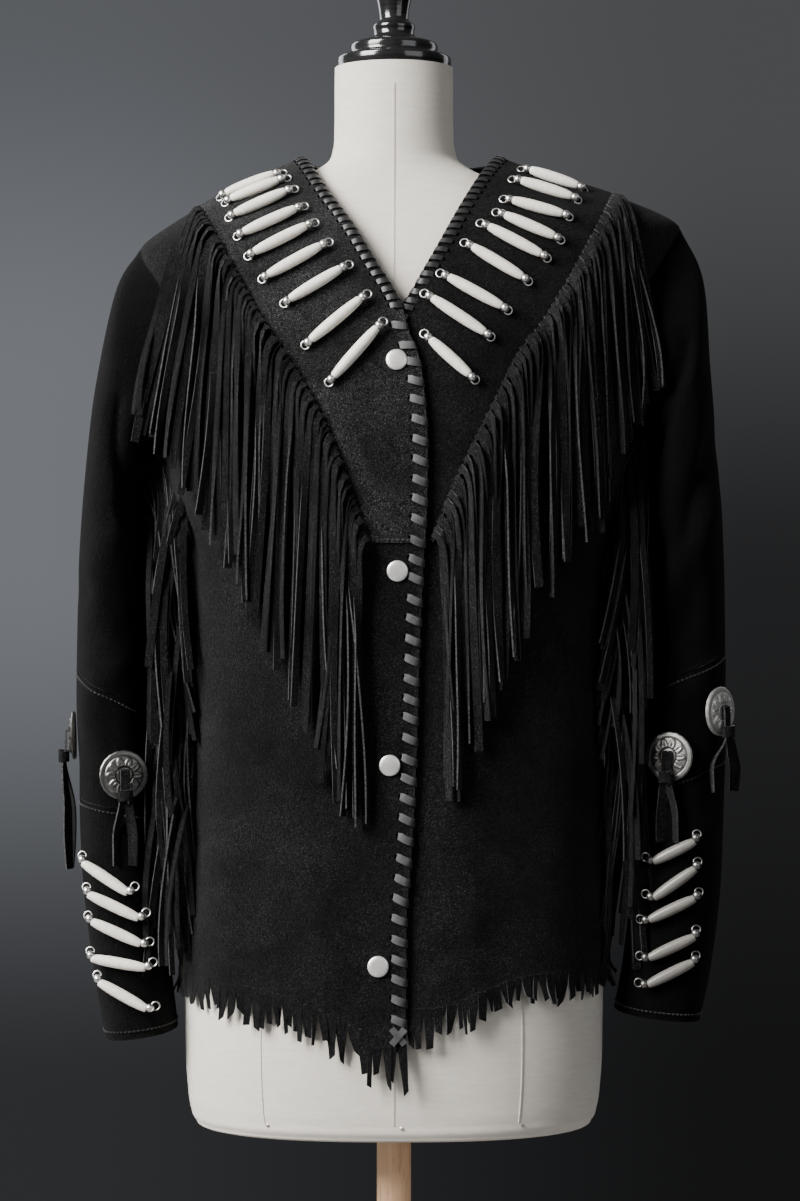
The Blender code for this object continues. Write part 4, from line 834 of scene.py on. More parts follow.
def sleeve_cloth(side, rings, rows):
    """Points and normals of a stretch of sleeve with its creases."""
    points = sleeve_at(rings, rows)
    along = sleeve_at(rings, rows + 0.05) - sleeve_at(rings, rows - 0.05)
    around = np.roll(points, -1, axis=1) - np.roll(points, 1, axis=1)
    normals = unit(np.cross(around, along))
    if np.sum(normals * (points - points.mean(axis=1, keepdims=True))) < 0:
        normals = -normals
    facing = ease((-normals[..., 1] + 0.1) / 0.6)
    lift = facing * creases(SLEEVE_FRONT_CREASES[side], points[..., 0], points[..., 2])
    behind = ease((normals[..., 1] + 0.1) / 0.6)
    lift += behind * creases(SLEEVE_BACK_CREASES, np.abs(points[..., 0]), points[..., 2])
    return points + lift[..., None] * normals, normals


def sleeve_cut(side, top):
    """Rows of a slanted seam, one for each column."""
    start, slant = top[side]
    turn = turns(SLEEVE_COLUMNS)
    return start + slant * (1 - np.cos(turn)) / 2


def sleeve(side, rings, mats):
    """A set-in sleeve in three pieces, whose head tucks under the armhole's edge."""
    band, wrist = sleeve_cut(side, BAND_TOP), sleeve_cut(side, CUFF_TOP)
    last = float(len(rings) - 1)
    spans = (("upper", 0.0, band, 96), ("band", band, wrist, 34), ("cuff", wrist, last, 56))
    made = []
    for name, start, stop, count in spans:
        share = np.linspace(0, 1, count)[:, None]
        rows = start + SEAM_ROW + (stop - start - 2 * SEAM_ROW) * share
        points, normals = sleeve_cloth(side, rings, rows)
        if name == "upper":
            tuck = armhole_ring(side, *SLEEVE_TUCK)
            points = np.concatenate([tuck[None], points])
            normals = np.concatenate([normals[:1], normals])
        node = f"sleeve_{name}_{side}"
        made.append(shell(node, node, points, normals, mats, ring=True))
    return made


# ---------------- what the cloth carries
class Cloth:
    """Finds the outermost cloth in front of, behind or beside a place."""

    def __init__(self, pieces):
        verts, faces = [], []
        for obj in pieces:
            first = len(verts)
            verts += [v.co.copy() for v in obj.data.vertices]
            faces += [[first + i for i in p.vertices] for p in obj.data.polygons]
        self.tree = BVHTree.FromPolygons(verts, faces)

    def hit(self, x, z, facing=-1):
        """Where a ray square to the front, or to the back, first meets cloth, and its normal there."""
        return self.tree.ray_cast(Vector((x, facing, z)), Vector((0.0, -facing, 0.0)))[:2]

    def depth(self, x, z, facing=-1):
        place = self.hit(x, z, facing)[0]
        return None if place is None else place.y

    def face(self, x, z):
        """The foremost point at x and z, or just inward of it, and a normal averaged round it."""
        place = self.hit(x, z)[0]
        while place is None:
            x -= math.copysign(0.001, x)
            place = self.hit(x, z)[0]
        total = Vector()
        reach = 0.005
        for dx, dz in ((0, 0), (reach, 0), (-reach, 0), (0, reach), (0, -reach)):
            normal = self.hit(x + dx, z + dz)[1]
            if normal is not None:
                total += normal if normal.y < 0 else -normal
        return place, total.normalized()

    def along(self, start, way):
        """The first cloth met from start along way, and its normal against the way."""
        place, normal = self.tree.ray_cast(start, way)[:2]
        return place, normal if normal.dot(way) < 0 else -normal


class Parts:
    """Joins many small shapes into one mesh."""

    def __init__(self):
        self.verts, self.faces, self.which = [], [], []

    def add(self, shape, mat=0):
        verts, faces = shape
        first = len(self.verts)
        self.verts += list(verts)
        self.faces += [tuple(first + i for i in f) for f in faces]
        self.which += [mat] * len(faces)

    def build(self, name, mats, slot, replaces=(), degrees=50):
        return sharpen(piece(name, self.verts, self.faces, mats, replaces, self.which), degrees)


class Strips(Parts):
    """Collects thin straps of four-sided section; their narrow sides take the second material."""

    def section(self, centres, widths, thicks):
        """centres, and half width and half thickness vectors, one row for each section."""
        first = len(self.verts)
        end = first + 4 * (len(centres) - 1)
        for c, w, t in zip(centres, widths, thicks):
            self.verts += [c - w + t, c + w + t, c + w - t, c - w - t]
        for a in range(first, end, 4):
            for k in range(4):
                n = (k + 1) % 4
                self.faces.append((a + k, a + 4 + k, a + 4 + n, a + n))
                self.which.append(k % 2)
        self.faces += [(first, first + 1, first + 2, first + 3), (end + 3, end + 2, end + 1, end)]
        self.which += [1, 1]

    def strap(self, *frames):
        self.section(*strap_frames(*frames))

    def build(self, name, mats, replaces=(), slot="suede"):
        return Parts.build(self, name, mats, slot, replaces, 40)


def strap_frames(path, across, turn, half, thick):
    """Sections of a strap down a path: its width turns from across by an angle."""
    path = np.asarray(path, float)
    way = unit(np.gradient(path, axis=0))
    side = square_to(np.asarray(across), way)
    front = np.cross(way, side)
    turn = np.broadcast_to(turn, (len(path),))[:, None]
    width = np.cos(turn) * side + np.sin(turn) * front
    half = np.broadcast_to(half, (len(path),))[:, None]
    return path, width * half, np.cross(way, width) * thick / 2


# ---------------- fringe
STRAND_THICK = 0.0013
STRAND_HALF = (0.0022, 0.0035)      # least and greatest half width
STRAND_SECTIONS = 17
STRAND_SHARES = np.linspace(0, 1, STRAND_SECTIONS) ** 1.25      # of its length, at each section
ROOT_DEPTH = 0.0035         # how far inside its edge a strand starts
END_SPREAD = (0.0026, 0.0055)       # how unevenly the strands end, across and down
LANE = 0.0022               # every second strand lies this much further out
LANE_SPREAD = 0.0034
SWAY = 0.0042
TURNED_OVER = 0.24          # the share of strands that show their other face
RNG = np.random.default_rng(1887)

ALONG_YOKE = (0.0, 0.12, 0.25, 0.38, 0.5, 0.62, 0.75, 0.88, 1.0)
YOKE_ENDS = {
    "right": {
        "along": ALONG_YOKE,
        "x": (-0.213, -0.1862, -0.15, -0.123, -0.105, -0.083, -0.062, -0.042, -0.027),
        "z": (1.198, 1.16, 1.108, 1.066, 1.0158, 0.9816, 0.93, 0.89, 0.865),
    },
    "left": {
        "along": ALONG_YOKE,
        "x": (0.211, 0.19, 0.164, 0.136, 0.111, 0.092, 0.074, 0.056, 0.038),
        "z": (1.208, 1.18, 1.116, 1.079, 1.042, 0.993, 0.9591, 0.915, 0.885),
    },
}
BACK_ENDS = {
    "along": (0.0, 0.07, 0.25, 0.5, 0.75, 0.93, 1.0),
    "x": (-0.241, -0.193, -0.1, 0.01, 0.12, 0.2, 0.215),
    "z": (1.224, 1.15, 1.015, 0.9, 1.015, 1.16, 1.2),
}
FRINGE_SINK = CLOTH * 0.7   # how far under a yoke's face its fringe is rooted
YOKE_STRANDS = 58
YOKE_CROWD = 1.18       # over 1, the strands lie closer at the shoulder
BACK_STRANDS = 96
ARCH = (0.0050, 0.0115)         # how far a strand runs on square to its edge before it falls
ARCH_LIFT = (0.0025, 0.0065)    # and how far it stands off there
STAND_OFF = 0.0004      # the least gap between a strand and the cloth
FALL_BACK = 0.0008      # the most that a section may lie nearer the body than the one above


def strand_path(root, outward, end, cloth, facing, lane, half, sway, beat):
    """Sections of a strand: out from its edge, over in an arch, and down over the cloth."""
    length = root[2] - end[2]
    reach_out, lift = RNG.uniform(*ARCH), RNG.uniform(*ARCH_LIFT)
    down = length * STRAND_SHARES
    arch = reach_out * (1 - np.exp(-down / reach_out))
    share = down / length
    drift = end[0] - root[0] - outward[0] * reach_out
    x = root[0] + outward[0] * arch + drift * (0.6 * share + 0.4 * ease(share))
    x += sway * np.sin(3.1 * share + beat) * share
    z = root[2] + outward[2] * (arch - reach_out * share ** 2) - (down - arch) * length / (length - reach_out)
    z = np.minimum.accumulate(z)
    hump = lift * np.exp(-((down - 0.008) / 0.010) ** 2)
    depth = root[1]
    path = []
    for k in range(STRAND_SECTIONS):
        hits = [cloth.depth(x[k] + shift, z[k], facing) for shift in (-half, half)]
        near = [facing * hit for hit in hits if hit is not None]
        stand = lane * float(ease(down[k] / 0.03)) + hump[k] + STAND_OFF
        reach = max(near) + stand if near else facing * depth - FALL_BACK
        if k > 0:
            reach = max(reach, facing * depth - FALL_BACK)
        depth = facing * reach
        path.append((x[k], depth, z[k]))
    return np.array(path)


def hanging_fringe(node, line, normals, count, ends, cloth, facing, mats, crowd=1.0):
    """Strands rooted under a slanted edge, hanging over whatever is below them."""
    strips = Strips()
    run = run_along(line)
    share = STRAND_SHARES
    along = unit(np.gradient(line, axis=0))
    for k in range(count):
        t = ((k + 0.5 + RNG.uniform(-0.25, 0.25)) / count) ** crowd
        place = run[-1] * (0.004 + 0.992 * t)
        root, normal, edge = (at_run(place, run, data) for data in (line, normals, along))
        outward = np.cross(normal, edge)
        outward *= -np.sign(outward[2])
        clump = 0.0030 * math.sin(k * 0.71) + 0.0022 * math.sin(k * 1.93 + 1)
        x, z = (float(curve(ends["along"], ends[k], t)) for k in "xz")
        end = (x + clump + RNG.normal(0, END_SPREAD[0]), 0.0, z + RNG.normal(0, END_SPREAD[1]))
        half = RNG.uniform(*STRAND_HALF)
        lane = STAND_OFF + LANE * (k % 2) + RNG.uniform(0, LANE_SPREAD)
        beat = RNG.uniform(0, 6.3)
        sway = RNG.normal(0, SWAY)
        path = strand_path(root - outward * ROOT_DEPTH, outward, end, cloth, facing, lane, half, sway, beat)
        blend = ease(share / 0.12)[:, None]
        across = edge * math.copysign(1.0, edge[0]) * (1 - blend) + np.array((1.0, 0.0, 0.0)) * blend
        turned_over = RNG.random() < TURNED_OVER
        settled = RNG.choice((-1, 1)) * RNG.uniform(0.9, 1.5) if turned_over else RNG.normal(0, 0.42)
        folded = RNG.uniform(0.1, 1.5) * (1 - ease((share - 0.05) / RNG.uniform(0.10, 0.5)))
        twist = ease(share / 0.05) * folded + settled * ease((share - 0.1) / 0.3)
        twist += 0.45 * np.sin(RNG.uniform(4, 9) * share + beat) * share
        path[:, 1] += facing * np.abs(np.sin(twist)) * half
        strips.strap(path, across, twist, half, STRAND_THICK)
    strips.build(node + "_strands", mats, (node,))


HEM_REACH = {
    "right": {"along": (0.0, 0.2, 0.5, 0.7, 1.0), "reach": (0.044, 0.032, 0.028, 0.022, 0.02)},
    "left": {"along": (0.0, 0.2, 0.4, 0.7, 1.0), "reach": (0.034, 0.028, 0.024, 0.022, 0.018)},
    "back": {"along": (0.0, 0.5, 1.0), "reach": (0.02, 0.026, 0.02)},
}
HEM_STRIPS = {"right": 46, "left": 46, "back": 70}
HEM_WIDTHS = (0.5, 1.6)     # of the strips, beside one another
HEM_LENGTHS = (0.68, 1.14)  # as shares of HEM_REACH
HEM_LEAN = 0.0028
HEM_CURL = 0.0026


def hem_fringe(side, grid, mats):
    """The lower edge of a panel's grid, slit into short uneven strips."""
    strips = Strips()
    line, normals = (data[0] for data in grid)
    count, length = HEM_STRIPS[side], HEM_REACH[side]
    run = run_along(line)
    steps = np.linspace(0, 1, 6)
    cuts = np.concatenate([[0.0], np.cumsum(RNG.uniform(*HEM_WIDTHS, count))])
    cuts /= cuts[-1]
    for k in range(count):
        middle = (cuts[k] + cuts[k + 1]) / 2
        full = float(curve(length["along"], length["reach"], middle)) * RNG.uniform(*HEM_LENGTHS)
        normal = at_run(run[-1] * middle, run, normals)
        normal[2] = 0.0
        normal = unit(normal)
        left, right = (at_run(run[-1] * cut, run, line) for cut in cuts[k:k + 2])
        across = unit(right - left)
        across[2] = 0.0
        half = np.linalg.norm(right - left) / 2
        lean, curl = (RNG.normal(0, spread) for spread in (HEM_LEAN, HEM_CURL))
        path = [(left + right) / 2 - CLOTH / 2 * normal - np.array((0, 0, full * s))
                + across * lean * s + normal * curl * s * s for s in steps]
        halves = half * (1.02 - RNG.uniform(0.12, 0.55) * ease((steps - 0.2) / 0.8))
        turn = RNG.normal(0, 0.30) * steps
        frames = strap_frames(path, across, turn, halves, CLOTH)
        frames[1][-1, 2] += half * RNG.normal(0, 0.45)
        strips.section(*frames)
    strips.build(f"fringe_hem_{side}_strips", mats, (f"fringe_hem_{side}",))


SEAM_STRANDS = 180
SEAM_ROWS = {"share": (0.0, 0.28, 1.0), "row": (0.30, 1.75, 6.4)}   # more of them under the arm
SEAM_REACH = {"right": (0.1600, 0.2010), "left": (0.1650, 0.2060)}  # how far out the strands hang
SEAM_LENGTHS = (0.168, 0.190)       # at the top and at the bottom
SEAM_HALF = (0.0020, 0.0031)
SEAM_BULGE = (0.003, 0.030)         # how far the strands first spring out
SEAM_COLUMN = 43        # the seam's column, a little in front of the sleeve's innermost line


def sleeve_fringe(side, rings, cloth, mats):
    """The fringe in a sleeve's inner seam, hanging between the sleeve and the body."""
    strips = Strips()
    sign = -1.0 if side == "right" else 1.0
    steps = np.linspace(0, 1, STRAND_SECTIONS - 3)
    for k in range(SEAM_STRANDS):
        t = (k + 0.5) / SEAM_STRANDS
        row = float(np.interp(t, SEAM_ROWS["share"], SEAM_ROWS["row"]))
        root = sleeve_at(rings, np.full((1, SLEEVE_COLUMNS), row))[0, SEAM_COLUMN]
        root = root + np.array((-sign * 0.0008, RNG.uniform(-0.003, 0.003), 0.0))
        length = SEAM_LENGTHS[0] + (SEAM_LENGTHS[1] - SEAM_LENGTHS[0]) * t + RNG.normal(0, 0.010)
        x_end = sign * RNG.uniform(*SEAM_REACH[side])
        z = root[2] - length * steps
        behind = [cloth.depth(x_end, level) for level in z[4:]]
        behind = [depth for depth in behind if depth is not None and depth < 0]
        y_end = min(behind) - RNG.uniform(0.001, 0.006) if behind else RNG.uniform(-0.08, -0.01)
        beat = RNG.uniform(0, 6.3)
        half, bulge = RNG.uniform(*SEAM_HALF), RNG.uniform(*SEAM_BULGE)
        x = root[0] + (x_end - root[0]) * steps - sign * bulge * 5 * steps * np.exp(1 - 5 * steps)
        x += RNG.normal(0, 0.0030) * np.sin(4 * steps + beat) * steps
        y = root[1] + (y_end - root[1]) * ease(steps / 0.45)
        path = np.stack([x, y, z], axis=1)
        face = RNG.normal(0, 0.6)
        across = (math.cos(face), math.sin(face), 0.0)
        twist = RNG.normal(0, 0.9) * steps
        strips.strap(path, across, twist, half, STRAND_THICK)
    strips.build(f"fringe_sleeve_{side}_strands", mats, (f"fringe_sleeve_{side}",))


# ---------------- lacing and stitches
LACE_THICK = 0.0012
# Where the front edge turns into the neckline; below it the right front covers the left one's lacing
NECK_TURN = {"right": 1.268, "left": 1.262}
EDGE_ROLL = 0.0024      # radius of the folded edge that the lacing wraps
# Pitch, strap half width, reach from the edge to the holes, and slope down to the edge
FRONT_LACING = {"pitch": 0.0152, "half": 0.0031, "reach": 0.0112, "slant": 0.0026}
NECK_LACING = {"pitch": 0.0080, "half": 0.0022, "reach": 0.0088, "slant": 0.0016}


def resampled(line, pitch):
    """Places at an even pitch along a line of points, as row numbers that may be fractions."""
    run = run_along(line)
    count = int(run[-1] / pitch)
    return np.interp((np.arange(count) + 0.5) * run[-1] / count, run, np.arange(len(line)))


def whip_stitch(strips, holes, edge, inward, normal, along, plan):
    """One flat strap from its hole, round the folded edge and back on the inner face."""
    reach, slant, half = plan["reach"], plan["slant"], plan["half"]
    route = ((reach, -0.0012, -1.0), (reach * 0.97, 0.0004, -0.95), (reach * 0.84, 0.0010, -0.7),
             (reach * 0.60, 0.0014, -0.2), (0.0036, 0.0013, 0.3), (0.0012, 0.0006, 0.6),
             (-0.0003, -0.0014, 0.8), (-0.0005, -0.0036, 1.0), (0.0006, -0.0054, 1.2),
             (0.0030, -0.0064, 1.5), (reach * 0.6, -0.0056, 2.0), (reach, -0.0036, 3.0))
    path = np.array([edge + inward * r + normal * lift + along * slant * a for r, lift, a in route])
    halves = half * np.array((0.70, 0.85) + (1.0,) * 9 + (0.9,))
    strips.strap(path, along, 0.0, halves, LACE_THICK)
    spot = edge + inward * (reach + 0.0004) - along * slant
    place = pose_on(Vector(spot), Vector(normal))
    holes.add(turned((0.0013, 0.0017, 0.0006), (0.0, 0.00045, 0.0005), 10, place))


def lace_edge(strips, holes, line, inner, normals, plan):
    """Whip stitches down an edge; inner is a line beside it on the cloth."""
    rows = resampled(line, plan["pitch"])
    edge, beside, facing = at_rows(line, rows), at_rows(inner, rows), unit(at_rows(normals, rows))
    ahead, behind = (at_rows(line, np.clip(rows + shift, 0, len(line) - 1)) for shift in (0.4, -0.4))
    along = -unit(ahead - behind)
    for e, b, n, a in zip(edge, beside, facing, along):
        n = square_to(n, a)
        whip_stitch(strips, holes, e + a * RNG.normal(0, 0.0004), square_to(b - e, a, n), n, a, plan)


def edge_roll(name, line, inner, normals, mats):
    """The folded edge itself: a flattened roll along the cloth's edge."""
    along = unit(np.gradient(line, axis=0))
    inward = inner - line
    normals = square_to(normals, along)
    inward = square_to(inward, along, normals)
    turn = turns(12)
    points = (line + inward * EDGE_ROLL - normals * EDGE_ROLL)[:, None] \
        + inward[:, None] * (np.cos(turn) * EDGE_ROLL)[None, :, None] \
        + normals[:, None] * (np.sin(turn) * EDGE_ROLL)[None, :, None]
    piece(name, points.reshape(-1, 3), tube_faces(len(line), 12), mats)


STITCH_PITCH = 0.0036
STITCH_HALF = 0.00055


def stitch_line(strips, line, normals, lift=0.0004):
    """A row of short raised stitches."""
    rows = resampled(line, STITCH_PITCH)
    gap = np.linalg.norm(np.diff(line, axis=0), axis=1).mean()
    half = 0.36 * STITCH_PITCH / gap
    for row in rows:
        part = row + half * np.array((-1.0, -0.5, 0.5, 1.0))
        part = np.clip(part, 0, len(line) - 1)
        path = at_rows(line, part)
        out = unit(at_rows(normals, part))
        path = path + out * (np.array((-0.0003, lift, lift, -0.0003))[:, None])
        across = np.cross(unit(np.gradient(path, axis=0)), out)
        strips.strap(path, across, 0.0, STITCH_HALF, STITCH_HALF * 1.6)


SLEEVE_SEWING = (0.085, 0.085, -0.150)      # rows from the band's top, the cuff's top and the end


def sleeve_sewing(side, rings, strips):
    """Stitch rows below both seams of a sleeve and above its open end."""
    last = len(rings) - 1.0
    cuts = (sleeve_cut(side, BAND_TOP), sleeve_cut(side, CUFF_TOP), np.full(SLEEVE_COLUMNS, last))
    for cut, shift in zip(cuts, SLEEVE_SEWING):
        points, normals = sleeve_cloth(side, rings, (cut + shift)[None])
        loop, facing = (np.concatenate([data[0], data[0][:1]]) for data in (points, normals))
        stitch_line(strips, loop, facing, 0.0005)


# ---------------- turned and round pieces
def turned(radii, heights, sides, place):
    """Points and faces of a turned shape, closed at both ends, moved by a matrix."""
    verts = [place @ Vector((r * math.cos(a), r * math.sin(a), z))
             for r, z in zip(radii, heights) for a in turns(sides)]
    return verts, tube_faces(len(radii), sides)


def hoop(ring_radius, wire, place, sides):
    """Points and faces of a small wire ring."""
    verts, faces = [], []
    around = 8
    for a in turns(sides):
        for b in turns(around):
            wide = ring_radius + wire * math.cos(b)
            verts.append(place @ Vector((wide * math.cos(a), wide * math.sin(a), wire * math.sin(b))))
    for r in range(sides):
        for c in range(around):
            n, m = (r + 1) % sides, (c + 1) % around
            faces.append((r * around + c, n * around + c, n * around + m, r * around + m))
    return verts, faces


def pose_on(point, normal, lift=0.0):
    """A matrix with Z along the normal, at a point moved out by lift."""
    return Matrix.Translation(point + lift * normal) @ normal.to_track_quat("Z", "Y").to_matrix().to_4x4()


BEAD_RADIUS = 0.0046
BEAD_PROFILE = {
    "along": (0.0, 0.0, 0.012, 0.04, 0.15, 0.32, 0.5, 0.68, 0.85, 0.96, 0.988, 1.0, 1.0),
    "radius": (0.24, 0.58, 0.66, 0.72, 0.88, 0.98, 1.0, 0.98, 0.88, 0.72, 0.66, 0.58, 0.24),
}
BALL = {"z": (-0.98, -0.80, -0.45, 0.0, 0.45, 0.80, 0.98), "r": (0.20, 0.60, 0.89, 1.0, 0.89, 0.60, 0.20)}
BALL_RADIUS = 0.0035
RING = (0.0033, 0.0006)     # radius of a ring and of its wire
RING_OUT = {"inner": 0.0020, "outer": 0.0004}     # how far past its ball a ring's middle lies


def bead(parts, start, end, normal, rises):
    """A long bone bead between two points, with a silver ball and a ring at each end."""
    axis = end - start
    way = axis.normalized()
    turn = axis.to_track_quat("Z", "Y").to_matrix().to_4x4()
    radii = [BEAD_RADIUS * r for r in BEAD_PROFILE["radius"]]
    heights = [axis.length * a for a in BEAD_PROFILE["along"]]
    parts.add(turned(radii, heights, 20, Matrix.Translation(start) @ turn))
    ball = [[BALL_RADIUS * size for size in BALL[k]] for k in ("r", "z")]
    up = (Vector((0.0, 0.0, 1.0)) - normal.z * normal).normalized()
    for spot, out, rise in ((start, -way, rises[0]), (end, way, rises[1])):
        out = (out * (1 - 0.45 * abs(rise)) + up * 0.75 * rise).normalized()
        parts.add(turned(*ball, 16, Matrix.Translation(spot + out * BALL_RADIUS * 0.8) @ turn), 1)
        far = RING_OUT["outer" if abs(spot.x) > abs((start.x + end.x) / 2) else "inner"]
        middle = spot + out * (BALL_RADIUS * 1.5 + far) - normal * 0.0024
        parts.add(hoop(*RING, pose_on(middle, (normal + 0.2 * out).normalized()), 22), 1)


BEADS = {
    "right": {
        "x0": (-0.1355, -0.1306, -0.1267, -0.119, -0.11, -0.0985, -0.081, -0.0645, -0.0465),
        "z0": (1.372, 1.366, 1.352, 1.335, 1.318, 1.299, 1.279, 1.246, 1.217),
        "x1": (-0.097, -0.093, -0.0865, -0.078, -0.069, -0.0575, -0.0415, -0.0262, -0.013),
        "z1": (1.387, 1.381, 1.37, 1.354, 1.339, 1.322, 1.303, 1.278, 1.255),
    },
    "left": {
        "x0": (0.11, 0.102, 0.0945, 0.088, 0.075, 0.062, 0.043, 0.0302, 0.029),
        "z0": (1.39, 1.379, 1.361, 1.348, 1.338, 1.321, 1.296, 1.279, 1.246),
        "x1": (0.148, 0.142, 0.134, 0.127, 0.116, 0.101, 0.0845, 0.071, 0.059),
        "z1": (1.377, 1.366, 1.35, 1.331, 1.316, 1.297, 1.273, 1.252, 1.2185),
    },
}
CUFF_BEADS = {
    "right": {
        "x0": (-0.2484, -0.244, -0.2411, -0.2414, -0.2355),
        "z0": (0.8335, 0.8086, 0.7868, 0.7572, 0.7382),
        "x1": (-0.2119, -0.2033, -0.2018, -0.198, -0.1972),
        "z1": (0.8099, 0.7896, 0.7692, 0.75, 0.7172),
    },
    "left": {
        "x0": (0.2402, 0.2406, 0.2402, 0.2402, 0.2391),
        "z0": (0.8511, 0.8292, 0.8056, 0.7748, 0.7544),
        "x1": (0.2073, 0.2077, 0.2039, 0.2036, 0.2027),
        "z1": (0.8343, 0.8055, 0.7878, 0.7576, 0.7363),
    },
}
# How far the rings at a cuff bead's outer and inner ends stand up
CUFF_RISES = {
    "right": ((1.5, 1.0), (1.3, 0.9), (0.7, 0.6), (1.5, 0.8), (1.2, 0.7)),
    "left": ((1.5, 0.8), (1.2, 0.8), (0.8, 0.5), (1.5, 0.6), (1.1, 0.6)),
}
BEAD_FORWARD = 0.7       # how far a bead's seat is turned from its cloth towards the front


def laid_bead(parts, cloth, x0, z0, x1, z1, rises=(0.0, 0.0)):
    """A bead seen from (x0, z0) to (x1, z1), resting on the cloth behind it."""
    x, z = (x0 + x1) / 2, (z0 + z1) / 2
    normal = (cloth.face(x, z)[1] + BEAD_FORWARD * Vector((0.0, -1.0, 0.0))).normalized()

    def level(px, pz):
        return -((px - x) * normal.x + (pz - z) * normal.z) / normal.y

    seats = []
    for s in np.linspace(0.05, 0.95, 9):
        px, pz = x0 + (x1 - x0) * s, z0 + (z1 - z0) * s
        behind = cloth.depth(px, pz)
        if behind is not None:
            seats.append(behind - level(px, pz))
    depth = min(seats) + BEAD_RADIUS * 0.95 / normal.y
    start, end = (Vector((px, depth + level(px, pz), pz)) for px, pz in ((x0, z0), (x1, z1)))
    bead(parts, start, end, normal, rises)


def bead_rows(cloth, mats, shaded):
    """The nine beads of each front, and the five on each cuff."""
    for side in SIDES:
        for k, ends in enumerate(rows_of(BEADS[side], "x0 z0 x1 z1")):
            parts = Parts()
            laid_bead(parts, cloth, *ends)
            node = f"hairpipe_{side}_{k + 1}"
            parts.build(node + "_bead", mats, "bone", (node,))
        cuffs = Parts()
        for rises, ends in zip(CUFF_RISES[side], rows_of(CUFF_BEADS[side], "x0 z0 x1 z1")):
            laid_bead(cuffs, cloth, *ends, rises)
        cuffs.build(f"cuff_beads_{side}", mats if side == "right" else shaded, "bone")


SNAPS = {"x": (0.0023, 0.0030, -0.0030, -0.0120), "z": (1.2300, 1.0660, 0.9146, 0.7584)}
SNAP_PROFILE = {
    "r": (0.9, 1.0, 1.0, 0.975, 0.93, 0.8, 0.6, 0.35, 0.12, 0.03),
    "z": (0.0, 0.0003, 0.0012, 0.00165, 0.00195, 0.0023, 0.00255, 0.0027, 0.00275, 0.00276),
}
SNAP_RADIUS = 0.0083


def snaps(cloth, mats):
    """The four caps down the front's edge."""
    for k, (x, z) in enumerate(rows_of(SNAPS, "x z")):
        point, normal = cloth.face(x, z)
        parts = Parts()
        radii = [SNAP_RADIUS * r for r in SNAP_PROFILE["r"]]
        parts.add(turned(radii, SNAP_PROFILE["z"], 40, pose_on(point, normal, 0.0004)))
        parts.build(f"snap_{k + 1}_cap", mats, "silver", (f"snap_{k + 1}",))


CONCHO_RADIUS = 0.0198
CONCHO_RINGS = 34
CONCHO_SPOKES = 120
CONCHO_BACK = 0.0018    # how far its back stands off the cloth
CONCHO_ROW = {"right": 7.3, "left": 7.0}    # the row of the sleeve whose middle the conchos face away from
# Name, where it is looked for, the length and spread of its tails, and its turn to the front
CONCHOS = (
    ("right_front", (-0.2135, -0.080, 0.9035), 0.060, 0.002, 0.0),
    ("right_side", (-0.290, -0.020, 0.9330), 0.096, 0.003, 0.0),
    ("left_front", (0.2165, -0.080, 0.9180), 0.056, 0.002, 0.0),
    ("left_side", (0.283, -0.0995, 0.9540), 0.052, 0.010, 0.15),
)


def concho_height(r, a):
    """Relief of a domed concho: a plain rim, a ring of petals and a low boss."""
    dome = 0.0052 * math.sqrt(max(0.0, 1 - 0.85 * r * r))
    bead_ring = 0.00045 * math.exp(-((r - 0.95) / 0.035) ** 2)
    grooves = -0.0007 * (math.exp(-((r - 0.80) / 0.020) ** 2) + math.exp(-((r - 0.34) / 0.020) ** 2))
    tip = 0.44 + 0.32 * abs(math.cos(5 * a)) ** 0.8
    petal = 0.0010 * float(ease((tip - r) / 0.05)) * float(ease((r - 0.36) / 0.04))
    middle = math.exp(-((abs(math.cos(5 * a)) - 1.0) / 0.03) ** 2)
    vein = -0.0005 * middle * float(ease((r - 0.40) / 0.05) * ease((0.70 - r) / 0.06))
    return dome + bead_ring + grooves + petal + vein


def concho_shape(place):
    """The domed disc with its relief, a rim and a flat back."""
    verts = []
    around = turns(CONCHO_SPOKES)
    for r in np.linspace(0.02, 1.0, CONCHO_RINGS):
        for a in around:
            wide = CONCHO_RADIUS * r * (1 + 0.006 * math.cos(20 * a) * ease((r - 0.9) / 0.1))
            verts.append(place @ Vector((wide * math.cos(a), wide * math.sin(a), concho_height(r, a))))
    back = len(verts)
    wide = CONCHO_RADIUS * 0.97
    verts += [place @ Vector((wide * math.cos(a), wide * math.sin(a), 0.0)) for a in around]
    rim = back - CONCHO_SPOKES
    faces = [tuple(f) for f in grid_faces(CONCHO_RINGS, CONCHO_SPOKES, ring=True)]
    for k in range(CONCHO_SPOKES):
        n = (k + 1) % CONCHO_SPOKES
        faces.append((rim + k, back + k, back + n, rim + n))
    faces += [tuple(back + k for k in range(CONCHO_SPOKES)), tuple(range(CONCHO_SPOKES))[::-1]]
    return verts, faces


THONG_THICK = 0.0014


